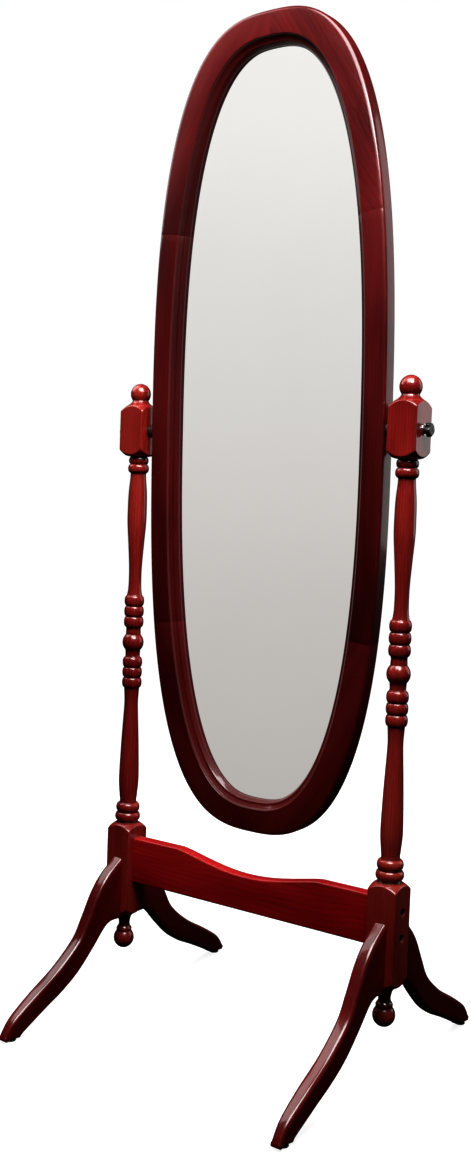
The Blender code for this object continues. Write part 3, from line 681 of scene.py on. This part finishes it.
def make_rail():
    low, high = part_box("stretcher_rail")
    half = (high.y - low.y) / 2
    outline = [(high.x + 0.02, high.z)]
    for x in np.linspace(RAIL_DIP_HALF, -RAIL_DIP_HALF, 81):
        wave = (1 + math.cos(math.pi * x / RAIL_DIP_HALF)) / 2
        outline.append((x, high.z - RAIL_DIP * wave ** 0.6))
    outline += [(low.x - 0.02, high.z), (low.x - 0.02, low.z), (high.x + 0.02, low.z)]
    mesh = plate("rail", resampled(outline, 0.006), half, RAIL_EDGE)
    # The plate lies in YZ; the rail's length is along X, and its ends are sawn square.
    mesh.transform(Matrix.Rotation(math.radians(-90), 4, "Z"))
    for near, far in ((low.x - 0.06, low.x), (high.x, high.x + 0.06)):
        mesh = sawn(mesh, (near, -0.03, low.z - 0.02), (far, 0.03, high.z + 0.02))
    for side, toward in (("right", 1), ("left", -1)):
        for level in LEVELS:
            nut = middle(f"{side}_rail_barrel_nut_{level}")
            radius = size(f"{side}_rail_barrel_nut_{level}").z / 2
            mesh = bored(mesh, radius + GAP, (nut.x, -0.0075, nut.z), (nut.x, 0.02, nut.z))
            mesh = bored(mesh, BOLT_HOLE, (nut.x - toward * 0.008, 0, nut.z),
                         (nut.x + toward * 0.06, 0, nut.z))
    co = coordinates(mesh)
    local = np.stack((co[:, 1] + 0.83, co[:, 2] + 0.21, co[:, 0] + 5.1), 1)
    finish_wood(mesh, local)
    piece("stretcher_rail_shaped", mesh, RAIL_WOOD, "cherry_wood", "stand", "stretcher_rail")


# ---- legs
CORNERS = {f"{end}_{side}": Matrix.Translation((x, 0, 0)) @ turn
           for side, x in (("right", POST_X), ("left", -POST_X))
           for end, turn in (("front", Matrix.Identity(4)), ("back", HALF_TURN))}
LEG_EDGE = 0.0060  # rounding of a leg's long edges
LEG_TIP = 0.2655  # how far a leg reaches from the post's axis
TAPER_START = 0.190  # how far out it starts to narrow towards its tip
TOE_TAPER = 0.32  # how much of its width it loses there
TOE_FLAT = 0.0023  # height of its flat underside, over the glide
PLUG_DEPTH = 0.003  # how deep a plug sits in its hole
PLUG_LINE = 0.00012  # the hairline round a plug


def leg_outline():
    """Side view of a front leg at the post axis: (y, height)."""
    top = through(
        [(0.0225, 0.2255), (0.0540, 0.2030), (0.0750, 0.1790), (0.0950, 0.1450),
         (0.1150, 0.1150), (0.1565, 0.0830), (0.2060, 0.0560), (0.2445, 0.0330),
         (0.2600, 0.0178), (LEG_TIP, 0.0085)], 12)
    nose = through([(LEG_TIP, 0.0085), (0.2658, 0.0050), (0.2625, TOE_FLAT)], 4)[1:]
    under = through(
        [(0.237, TOE_FLAT), (0.215, 0.0140), (0.182, 0.0300), (0.148, 0.0455), (0.1145, 0.0660),
         (0.083, 0.0940), (0.058, 0.1190), (0.043, 0.1270), (0.0225, 0.1275)], 12)
    outline = [(0.008, 0.2355)] + top + nose + under + [(0.008, 0.1270)]
    return [(-y, z) for y, z in outline]


def make_legs():
    outline = resampled(leg_outline(), 0.004)
    half = size("front_right_leg").x / 2
    master = plate("leg", outline, half, LEG_EDGE, 7)
    co = coordinates(master)
    near_tip = np.clip((-co[:, 1] - TAPER_START) / (LEG_TIP - TAPER_START), 0, 1)
    co[:, 0] *= 1 - TOE_TAPER * near_tip ** 2
    master.vertices.foreach_set("co", co.ravel())
    master = sawn(master, (-0.05, -BLOCK - GAP, 0.05), (0.05, 0.05, 0.30))
    seat = middle("front_right_leg_plug")
    radius = size("front_right_leg_plug").x / 2
    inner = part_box("front_right_leg_plug")[1].y
    outside = (0, inner - 0.06, seat.z)
    plug = bored(master, radius, (0, inner, seat.z), outside, operation="INTERSECT")
    master = bored(master, radius + PLUG_LINE, (0, inner + PLUG_DEPTH, seat.z), outside)
    # The grain runs straight from a leg's root to its tip.
    lean = math.atan2(0.205, 0.243)
    for number, (corner, place) in enumerate(CORNERS.items()):
        seed = 1.3 + 0.77 * number
        co = coordinates(master)
        along = -co[:, 1] * math.cos(lean) - co[:, 2] * math.sin(lean)
        across = -co[:, 1] * math.sin(lean) + co[:, 2] * math.cos(lean)
        local = np.stack((co[:, 0] + seed, across + 0.5 * seed, along + 2 * seed), 1)
        mesh = moved(master, place)
        finish_wood(mesh, local, 1.0 + 0.05 * math.sin(3.0 * number))
        piece(corner + "_leg_carved", mesh, LEG_WOOD, "cherry_wood", "stand", corner + "_leg")
        co = coordinates(plug)
        mesh = moved(plug, place)
        finish_wood(mesh, np.stack((co[:, 2], co[:, 0], co[:, 1] + seed), 1), 0.82)
        piece(corner + "_plug_flush", mesh, LEG_WOOD, "cherry_wood", "stand", corner + "_leg_plug")


# ---- mirror
HALF_WIDTH = size("mirror_frame").x / 2
HALF_HEIGHT = 0.600
POWER = 2.8  # superellipse exponent of the frame's outer edge
DEPTH = 0.025  # frame thickness
LIP_HALF_WIDTH = 0.1745  # the lip, where the frame's face turns down to the glass
LIP_HALF_HEIGHT = 0.5640
LIP_POWER = 2.6
NOMINAL_LIP = 0.0355  # the section is drawn with its lip this far in
FACE = 0.0320  # insets beyond this one move with the lip
JOINT_HEIGHT = 0.300  # glue joints above and below the pivots
JOINT_HAIR = 0.00022 / 2.5  # from a joint to the next ring, in turns round the oval
JOINT_GROOVE = 0.00004  # how deep the hairline at a joint is
SEGMENT_RINGS = 50
SEGMENT_TONES = (1.0, 0.95, 1.03, 0.97, 1.08, 0.92)
INSERT_DEPTH = 0.0175  # depth of the hole for a pivot insert
BOARD_THICKNESS = 0.003


def oval_at(turns):
    """Outer edge and inward normal at the given turns round the oval (0 to 1)."""
    angle = np.asarray(turns) * math.tau
    c, s = np.cos(angle), np.sin(angle)
    x = HALF_WIDTH * np.sign(c) * np.abs(c) ** (2 / POWER)
    z = HALF_HEIGHT * np.sign(s) * np.abs(s) ** (2 / POWER)
    normal = np.stack((np.sign(x) * np.abs(x / HALF_WIDTH) ** (POWER - 1) / HALF_WIDTH,
                       np.sign(z) * np.abs(z / HALF_HEIGHT) ** (POWER - 1) / HALF_HEIGHT), -1)
    normal /= np.linalg.norm(normal, axis=-1, keepdims=True)
    return np.stack((x, z), -1), -normal


def evenly(first, last, count):
    """Turns that part the oval's edge evenly between two turns, both ends included."""
    fine = np.linspace(first, last, 1500)
    edge, _ = oval_at(fine)
    run = np.concatenate(([0.0], np.cumsum(np.linalg.norm(np.diff(edge, axis=0), axis=1))))
    return np.interp(np.linspace(0, run[-1], count), run, fine)


def lip_at(edge, inward):
    """How far in from points of the outer edge the lip is."""
    near, far = np.full(len(edge), 0.02), np.full(len(edge), 0.06)
    for _ in range(34):
        half = (near + far) / 2
        x, z = (edge + inward * half[:, None]).T
        past = np.abs(x / LIP_HALF_WIDTH) ** LIP_POWER + np.abs(z / LIP_HALF_HEIGHT) ** LIP_POWER > 1
        near, far = np.where(past, half, near), np.where(past, far, half)
    return near


def inside_lip(offset, count):
    """An outline at a distance inside the lip, as (x, z) points."""
    edge, inward = oval_at(evenly(0.0, 1.0, count + 1)[:-1])
    return [tuple(p) for p in edge + (lip_at(edge, inward) + offset)[:, None] * inward]


def frame_section():
    """Section of the moulding: (inset, height above its back), insets past FACE follow the lip."""
    d, lip = DEPTH, NOMINAL_LIP
    return eased([
        (0.0020, 0.0, 0.0), (0.0, 0.0, 0.0016), (0.0, d, 0.0062), (lip + 0.0004, d, 0.0016),
        (lip + 0.0014, d - 0.0044, 0.0008), (lip + 0.0026, d - 0.0052, 0.0010),
        (lip + 0.0062, d - 0.0078, 0.0050), (lip + 0.0094, d - 0.0084, 0.0012),
        (lip + 0.0106, d - 0.0104, 0.0016), (lip + 0.0130, d - 0.0146, 0.0012),
        (lip + 0.0130, 0.0070, 0.0006), (lip + 0.0020, 0.0070, 0.0004), (lip + 0.0020, 0.0, 0.0006),
        (0.0300, 0.0, 0.0)], 5)


def frame_joints():
    """Turns at which the six glued segments of the frame meet, in order from the right."""
    s = (JOINT_HEIGHT / HALF_HEIGHT) ** (POWER / 2)
    t = math.asin(s) / math.tau
    return [t, 0.25, 0.5 - t, 0.5 + t, 0.75, 1.0 - t, 1.0 + t]


def make_frame():
    section = np.array(frame_section())
    slope = np.roll(section, -1, 0) - np.roll(section, 1, 0)
    slope /= np.linalg.norm(slope, axis=1)[:, None]
    outward = np.stack((slope[:, 1], -slope[:, 0]), 1)
    if outward[np.argmin(section[:, 0])][0] > 0:
        outward = -outward
    joints = frame_joints()
    turns, owners, grooves = [], [], []
    for k, (start, end) in enumerate(zip(joints, joints[1:])):
        inside = evenly(start + JOINT_HAIR, end - JOINT_HAIR, SEGMENT_RINGS)
        turns += [start] + list(inside)
        owners += [k] * (len(inside) + 1)
        grooves += [JOINT_GROOVE] + [0.0] * len(inside)
    edge, inward = oval_at(turns)
    lips = lip_at(edge, inward) - NOMINAL_LIP
    past_face = section[:, 0] > FACE
    vertices, local, tone = [], [], []
    chords = []
    for start, end in zip(joints, joints[1:]):
        ends, _ = oval_at([start, end])
        chords.append((ends.mean(0), (ends[1] - ends[0]) / np.linalg.norm(ends[1] - ends[0])))
    for point, normal, lip, owner, groove in zip(edge, inward, lips, owners, grooves):
        shape = section - groove * outward
        shape[:, 0] += lip * past_face
        flat = point + shape[:, :1] * normal
        centre, along = chords[owner]
        apart = flat - centre
        for (x, z), height, (ax, az) in zip(flat, shape[:, 1], apart):
            vertices.append((x, DEPTH / 2 - height, z))
            local.append((ax * along[1] - az * along[0] + 0.7 * owner, height + 0.13 * owner,
                          ax * along[0] + az * along[1] + 1.9 * owner))
            tone.append(SEGMENT_TONES[owner])
    rings, n = len(turns), len(section)
    faces = []
    for ring in range(rings):
        after = (ring + 1) % rings
        for i in range(n):
            j = (i + 1) % n
            faces.append((ring * n + i, ring * n + j, after * n + j, after * n + i))
    mesh = mesh_of("frame", vertices, faces)
    mark_grain(mesh, local)
    mark(mesh, "tone", tone)
    # Painted light and shade on the inner bevel: lighter towards the bottom, which faces up to the
    # lamps, and darker towards the top, which faces down into shade.
    inner = np.tile(section[:, 0] > NOMINAL_LIP + 0.0010, rings)
    height = np.repeat(edge[:, 1], n) / HALF_HEIGHT
    mark(mesh, "stain_and_painted_light", np.where(inner, np.clip(-0.4 - 2.2 * height, -0.9, 1.6), 0.0))
    insert = size("right_pivot_insert").z / 2
    for side in (-1, 1):
        mesh = bored(mesh, insert + GAP, (side * (HALF_WIDTH + 0.01), 0, 0),
                     (side * (HALF_WIDTH - INSERT_DEPTH), 0, 0))
    mesh.transform(TILT)
    shaded(mesh, 32)
    piece("mirror_frame_moulded", mesh, FRAME_WOOD, "frame_cherry", "mirror", "mirror_frame")


def make_board():
    mesh = plate("board", inside_lip(0.0030, 280), BOARD_THICKNESS / 2, 0.0003, 2)
    # The plate lies in YZ with its thickness along X; the board faces along Y.
    mesh.transform(Matrix.Rotation(math.radians(-90), 4, "Z"))
    shift = TILT.inverted() @ middle("backing_board")
    mesh.transform(TILT @ Matrix.Translation((0, shift.y, 0)))
    piece("backing_board_pressed", shaded(mesh), BOARD, "hardboard", "mirror", "backing_board")


def cross_recess(mesh, width, depth, top):
    """The screw head with its tapering cross, cut one arm at a time."""
    for turn in (0, 90):
        arm = bmesh.new()
        bmesh.ops.create_cone(arm, cap_ends=True, segments=4, radius1=0.1 * width,
                              radius2=0.70 * width, depth=2 * depth,
                              matrix=Matrix.Rotation(math.radians(45), 4, "Z"))
        arm.transform(Matrix.Rotation(math.radians(turn), 4, "Z") @ Matrix.Diagonal((1, 0.24, 1, 1)))
        arm.transform(Matrix.Translation((0, 0, top)))
        mesh = cut(mesh, arm)
    return mesh


CLIPS = 6
CLIP_LENGTH, CLIP_WIDTH, CLIP_THICKNESS = 0.022, 0.010, 0.0012
CLIP_START = -0.007  # where a clip's outer end is, from its screw's axis
SCREW_HEAD = 0.0029  # radius of a clip screw's domed head
SCREW_DOME = 0.0018  # height of its dome
SCREW_SHANK = 0.0014


def clip_outline():
    """A strip with round ends: (along, across), measured from its screw's axis."""
    half = CLIP_WIDTH / 2
    outline = []
    for centre, start in ((CLIP_START + CLIP_LENGTH - half, -math.pi / 2),
                          (CLIP_START + half, math.pi / 2)):
        outline += [(centre + half * math.cos(a), half * math.sin(a))
                    for a in np.linspace(start, start + math.pi, 17)]
    return outline


def make_clips():
    out_of_back = (Matrix.Rotation(REST_TILT, 3, "X") @ Vector((0, 1, 0))).normalized()
    for number in range(1, CLIPS + 1):
        clip, screw = f"backing_clip_{number}", f"clip_screw_{number}"
        # The screw's own middle is deep in the wood; its axis crosses the clip's plane.
        axis_point = middle(screw)
        centre = middle(clip)
        axis_point += out_of_back * (centre - axis_point).dot(out_of_back)
        inward = (centre - axis_point).normalized()
        place = Matrix((inward, out_of_back.cross(inward), out_of_back)).transposed().to_4x4()
        place.translation = axis_point
        mesh = plate("clip", clip_outline(), CLIP_THICKNESS / 2, 0.0003, 3)
        mesh.transform(Matrix(((0, 1, 0, 0), (0, 0, 1, 0), (1, 0, 0, 0), (0, 0, 0, 1))))
        mesh = bored(mesh, 0.0017, (0, 0, -0.01), (0, 0, 0.01), 24)
        mesh.transform(place)
        piece(clip + "_plated", shaded(mesh), BRASSED, "brass", "mirror", clip)

        seat = CLIP_THICKNESS / 2 + 0.0003
        profile = [(0.0, seat + SCREW_DOME)] + arc(0.0, seat, SCREW_HEAD, SCREW_DOME, 78, 4, 8)
        profile += [(SCREW_HEAD, seat), (SCREW_SHANK, seat), (SCREW_SHANK, -0.0105), (0.0, -0.0125)]
        head = turned("screw", profile, even_angles(32))
        head = cross_recess(head, 0.0038, 0.0013, seat + 0.0019)
        head.transform(place @ Matrix.Rotation(0.9 * number, 4, "Z"))
        piece(screw + "_driven", shaded(head), BRASSED, "brass", "mirror", screw)


# ---- pivots and knobs
def along_x(x, turn):
    """The place of a body turned about Z that is to lie along the pivots' line, from x outwards."""
    return turn @ Matrix.Translation((x, 0, PIVOT.z)) @ ALONG_X


LOBES = 5
LOBE_SPREAD = 0.0122  # from the knob's axis to the middle of a hollow's round cutter
LOBE_TOOL = 0.0046  # radius of that cutter
COLLAR = 0.0030  # height below which a knob is round


def knob_shape(angles):
    """Scalloped grip: hollows between the lobes, cut by round tools beside the rim."""
    hollow = []
    for angle in angles:
        turn = (angle % (math.tau / LOBES)) - math.pi / LOBES
        side = LOBE_SPREAD * math.sin(turn)
        inside = LOBE_TOOL ** 2 - side ** 2
        hollow.append(LOBE_SPREAD * math.cos(turn) - math.sqrt(inside) if inside > 0 else 0.02)

    def shape(radius, height, i):
        if height < COLLAR:
            return radius
        return softened_least(radius, hollow[i], min(0.0016, radius))
    return shape


def knob_profile(tall):
    """A knob's outline from its capped top to the hollow for the stud."""
    profile = [(0.0, tall), (0.0018, tall), (0.0021, tall - 0.0003), (0.0024, tall - 0.0003),
               (0.0027, tall)]
    profile += eased([(0.0055, tall, 0), (0.0078, tall - 0.0003, 0.002),
                      (0.0100, tall - 0.0022, 0.003), (0.0100, 0.0044, 0.0014),
                      (0.0080, 0.0031, 0.001), (0.0063, 0.0028, 0.0006), (0.0060, 0.0, 0)], 5)
    return profile + [(STUD_HOLE, 0.0), (STUD_HOLE, 0.0070), (0.0, 0.0070)]


def make_knobs():
    angles = even_angles(120)
    for side, turn in SIDES:
        body = side + "_clamp"
        low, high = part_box("right_knob")
        knob = turned("knob", knob_profile(high.x - low.x), angles, knob_shape(angles))
        knob.transform(along_x(low.x, turn))
        piece(side + "_knob_moulded", shaded(knob, 40), KNOB_PLASTIC, "black_plastic", body,
              side + "_knob")

        ring = eased([(STUD_HOLE, 0.0003, 0), (STUD_HOLE, 0.0012, 0.0002), (0.0080, 0.0012, 0.0003),
                      (0.0080, 0.0, 0.0002), (STUD_HOLE, 0.0, 0.0002), (STUD_HOLE, 0.0003, 0)], 2)
        washer = turned("washer", ring, even_angles(64))
        washer.transform(along_x(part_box("right_knob_washer")[0].x, turn))
        piece(side + "_washer_stamped", shaded(washer), ZINC, "zinc_steel", body,
              side + "_knob_washer")

        low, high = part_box("right_pivot_spacer")
        long = high.x - low.x
        ring = eased([(STUD_HOLE, 0.001, 0), (STUD_HOLE, long, 0.0003), (0.0100, long, 0.0012),
                      (0.0100, 0.0, 0.0012), (STUD_HOLE, 0.0, 0.0003), (STUD_HOLE, 0.001, 0)], 4)
        spacer = turned("spacer", ring, even_angles(64))
        spacer.transform(along_x(low.x, turn))
        piece(side + "_spacer_turned", shaded(spacer), NYLON, "nylon", "stand",
              side + "_pivot_spacer")


def make_bolt(side, turn, level):
    """A rail bolt with a flat domed head and a hexagonal socket."""
    node = f"{side}_rail_bolt_{level}"
    low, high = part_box("right_rail_bolt_" + level)
    head = high.x - BOLT_HEAD
    radius = (high.z - low.z) / 2
    long = head - low.x
    profile = [(0.0, BOLT_HEAD)] + eased([
        (radius - 0.0012, BOLT_HEAD, 0), (radius, BOLT_HEAD, 0.0010), (radius, 0.0, 0.0002),
        (0.0030, 0.0, 0.0002), (0.0030, -long + 0.0006, 0.0), (0.0024, -long, 0)], 4)
    bolt = turned("bolt", profile + [(0.0, -long)], even_angles(48))
    socket = bmesh.new()
    bmesh.ops.create_cone(socket, cap_ends=True, segments=6, radius1=0.0023, radius2=0.0023,
                          depth=0.0044, matrix=Matrix.Translation((0, 0, BOLT_HEAD)))
    bolt = cut(bolt, socket)
    height = (low.z + high.z) / 2
    bolt.transform(turn @ Matrix.Translation((head, 0, height)) @ ALONG_X)
    piece(node + "_machined", shaded(bolt), BLACK_STEEL, "black_steel", "stand", node)


def make_nut(side, level):
    """A barrel nut across the rail, slotted at its back and drilled through for its bolt."""
    node = f"{side}_rail_barrel_nut_{level}"
    low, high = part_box(node)
    radius = (high.z - low.z) / 2
    long = high.y - low.y
    profile = [(0.0, long)] + eased([
        (radius - 0.0010, long, 0), (radius, long, 0.0006), (radius, 0.0, 0.0006),
        (radius - 0.0010, 0.0, 0)], 3) + [(0.0, 0.0)]
    nut = turned("nut", profile, even_angles(48))
    nut = sawn(nut, (-0.01, -0.0007, long - 0.0012), (0.01, 0.0007, long + 0.01))
    nut = bored(nut, 0.0032, (-0.02, 0, -low.y), (0.02, 0, -low.y))
    stand_back = Matrix.Rotation(math.radians(-90), 4, "X")
    place = Matrix.Translation(((low.x + high.x) / 2, low.y, (low.z + high.z) / 2))
    nut.transform(place @ stand_back)
    piece(node + "_machined", shaded(nut), ZINC, "zinc_steel", "stand", node)


def make_rail_hardware():
    for side, turn in SIDES:
        for level in LEVELS:
            make_bolt(side, turn, level)
            make_nut(side, level)


def make_glides():
    for corner in CORNERS:
        node = corner + "_glide"
        profile = [(0.0, 0.0110), (0.0009, 0.0098), (0.0015, 0.0090), (0.0015, 0.0021)]
        profile += eased([(0.0072, 0.0021, 0), (0.0080, 0.0019, 0.0006), (0.0080, 0.0, 0.0009),
                          (0.0060, 0.0, 0)], 4) + [(0.0, 0.0)]
        mesh = turned("glide", profile, even_angles(48))
        centre = middle(node)
        mesh.transform(Matrix.Translation((centre.x, centre.y, 0)))
        piece(node + "_moulded", shaded(mesh), NYLON, "nylon", "stand", node)


def dress_cad_nodes():
    """Better materials for the CAD nodes that stay, most of them out of sight."""
    looks = {"dowel": BEECH, "leg_screw": ZINC, "insert": BRASSED, "stud": ZINC,
             "mirror_glass": SILVER}
    for name, node in frame["nodes"].items():
        if node.hide_render:
            continue
        for word, material in looks.items():
            if word in name:
                for slot in node.material_slots:
                    slot.link = "OBJECT"
                    slot.material = material


make_posts()
make_rail()
make_legs()
make_frame()
make_board()
make_clips()
make_knobs()
make_rail_hardware()
make_glides()
dress_cad_nodes()


# ---- studio
VIEW_GAMMA = 0.75  # below 1 deepens the darks
ROOM_RADIUS = 9.0  # of the pale room that the glass reflects
ROOM_GAIN = 0.93  # what the glass gives back of it
# The room's colour, as it is to show in the glass, at heights in degrees above the pivots.
ROOM_TINTS = ((-30, (165, 161, 157)), (-14, (184, 181, 177)), (-8, (191, 187, 184)),
              (-2, (202, 198, 195)), (4, (209, 207, 205)), (10, (216, 215, 213)),
              (17, (230, 229, 227)), (30, (240, 239, 237)))
CAMERA_PLACE = (1.0768, -1.5506, 0.7939)
CAMERA_TURN = (35.832, -3.219, 2.070)  # yaw left of +Y, pitch and roll, in degrees
CAMERA_LENS = 39.77


def emission_world():
    """Dim light from all round; the camera sees the backdrop as plain white."""
    world = bpy.data.worlds.new("studio")
    bpy.context.scene.world = world
    world.use_nodes = True
    world.node_tree.nodes.clear()
    w = Tree(world.node_tree)
    direction = w.add("ShaderNodeTexCoord").outputs["Generated"]
    height = w.add("ShaderNodeSeparateXYZ", inputs={0: direction}).outputs["Z"]
    lift = w.add("ShaderNodeMapRange", inputs={
        "Value": height, "From Min": -0.4, "From Max": 0.9, "To Min": 0.005, "To Max": 0.07})
    room = w.add("ShaderNodeBackground",
                 inputs={"Color": (1, 0.97, 0.95, 1), "Strength": lift.outputs[0]})
    white = w.add("ShaderNodeBackground", inputs={"Color": (1, 1, 1, 1), "Strength": 1.0})
    seen = w.add("ShaderNodeLightPath").outputs["Is Camera Ray"]
    mix = w.add("ShaderNodeMixShader", inputs={0: seen, 1: room.outputs[0], 2: white.outputs[0]})
    w.add("ShaderNodeOutputWorld", inputs={0: mix.outputs[0]})


def hidden_from(obj, *rays):
    """Hides an object from some kinds of light ray."""
    for ray in rays:
        setattr(obj, "visible_" + ray, False)


def floor():
    """A pale floor that takes soft shadows and lights nothing."""
    bm = bmesh.new()
    bmesh.ops.create_circle(bm, cap_ends=True, segments=96, radius=14.0)
    m = Nodes("pale_floor", roughness=0.8, specular=0.1)
    place = m.place()
    away = m.add("ShaderNodeVectorMath", operation="LENGTH", inputs={0: place}).outputs["Value"]
    fine = m.noise(place, 60.0, 3.0)
    m.set("Base Color", m.ramp(fine, [(0.3, 0.30), (0.7, 0.33)]))
    far = m.spread(m.math("DIVIDE", away, 3.0, clamp=True), 0.84, 1.0)
    m.set("Emission Color", (1, 1, 1, 1))
    m.set("Emission Strength", far)
    obj = linked("floor", mesh_from("floor", bm))
    obj.data.materials.append(m.material)
    obj.location.z = cad_low.z
    hidden_from(obj, "diffuse", "glossy")


def surround():
    """A pale room that only the glass reflects: lighter above, darker towards the floor."""
    bm = bmesh.new()
    bmesh.ops.create_uvsphere(bm, u_segments=64, v_segments=48, radius=ROOM_RADIUS)
    bmesh.ops.reverse_faces(bm, faces=bm.faces)
    obj = linked("surround", mesh_from("surround", bm))
    obj.data.shade_smooth()
    obj.location = PIVOT
    m = Nodes("surround")
    split = m.add("ShaderNodeSeparateXYZ", inputs={0: m.place()})
    height = m.math("DIVIDE", split.outputs["Z"], ROOM_RADIUS)
    place = m.add("ShaderNodeMapRange", inputs={
        "Value": height, "From Min": -0.5, "From Max": 0.5}).outputs["Result"]
    stops = []
    for degrees, tint in ROOM_TINTS:
        shown = [(c / 255) ** VIEW_GAMMA for c in tint]
        colour = tuple(((c + 0.055) / 1.055) ** 2.4 / ROOM_GAIN for c in shown)
        stops.append((0.5 + math.sin(math.radians(degrees)), colour))
    colour = m.ramp(place, stops)
    glow = m.add("ShaderNodeEmission", inputs={"Color": colour, "Strength": 1.0})
    clear = m.add("ShaderNodeBsdfTransparent")
    both = m.add("ShaderNodeAddShader", inputs={0: glow.outputs[0], 1: clear.outputs[0]})
    m.feed(m.tree.nodes["Material Output"].inputs["Surface"], both.outputs[0])
    obj.data.materials.append(m.material)
    hidden_from(obj, "camera", "diffuse", "transmission", "shadow")
    only_glass = bpy.data.collections.new("seen_in_the_glass")
    only_glass.objects.link(frame["nodes"]["mirror_glass"])
    obj.light_linking.receiver_collection = only_glass


def all_but_the_glass():
    """What the lamps light: everything, but they are not to be seen in the mirror."""
    others = bpy.data.collections.new("lit_by_the_lamps")
    others.objects.link(frame["nodes"]["mirror_glass"])
    others.collection_objects[0].light_linking.link_state = "EXCLUDE"
    return others


def softbox(name, aim, azimuth, elevation, distance, width, height, watts):
    """A rectangular lamp turned to face aim, from an azimuth right of front and an elevation."""
    a, e = math.radians(azimuth), math.radians(elevation)
    back = Vector((math.sin(a) * math.cos(e), -math.cos(a) * math.cos(e), math.sin(e)))
    lamp = bpy.data.lights.new(name, "AREA")
    lamp.shape = "RECTANGLE"
    lamp.size, lamp.size_y = width, height
    lamp.energy = watts
    obj = linked(name, lamp)
    obj.location = Vector(aim) + back * distance
    obj.rotation_mode = "QUATERNION"
    obj.rotation_quaternion = back.to_track_quat("Z", "Y")
    hidden_from(obj, "camera")
    obj.light_linking.receiver_collection = NOT_THE_GLASS
    return obj


def camera():
    yaw, pitch, roll = (math.radians(a) for a in CAMERA_TURN)
    level = Vector((math.cos(yaw), math.sin(yaw), 0))
    ahead = Vector((-math.sin(yaw), math.cos(yaw), 0))
    up = Vector((0, 0, 1))
    forward = ahead * math.cos(pitch) + up * math.sin(pitch)
    above = up * math.cos(pitch) - ahead * math.sin(pitch)
    right = level * math.cos(roll) + above * math.sin(roll)
    above = above * math.cos(roll) - level * math.sin(roll)
    data = bpy.data.cameras.new("camera")
    data.lens = CAMERA_LENS
    data.sensor_width = 36.0
    data.clip_start, data.clip_end = 0.05, 60.0
    obj = linked("camera", data)
    turn = Matrix((right, above, -forward)).transposed().to_4x4()
    obj.matrix_world = Matrix.Translation(CAMERA_PLACE) @ turn
    bpy.context.scene.camera = obj


emission_world()
floor()
surround()
NOT_THE_GLASS = all_but_the_glass()
softbox("key", (0.0, 0.0, 1.32), 35, 46, 0.92, 1.2, 0.9, 56)
back_fill = softbox("back_fill", (0.0, 0.0, 0.90), 212, 30, 1.9, 1.4, 1.4, 60)
hidden_from(back_fill, "glossy")
side_panel = softbox("side_panel", (0.25, 0.0, 1.10), 145, 12, 2.6, 1.5, 2.2, 17)
front_panel = softbox("front_panel", (0.0, 0.0, 0.45), 48, 48, 2.2, 0.8, 0.6, 28)
top_panel = softbox("top_panel", (0.0, -0.15, 0.10), -79, 59, 2.0, 0.9, 1.3, 15)
for panel in (side_panel, front_panel, top_panel):
    hidden_from(panel, "diffuse")
camera()
bpy.context.scene.view_settings.view_transform = "Standard"
bpy.context.scene.view_settings.gamma = VIEW_GAMMA
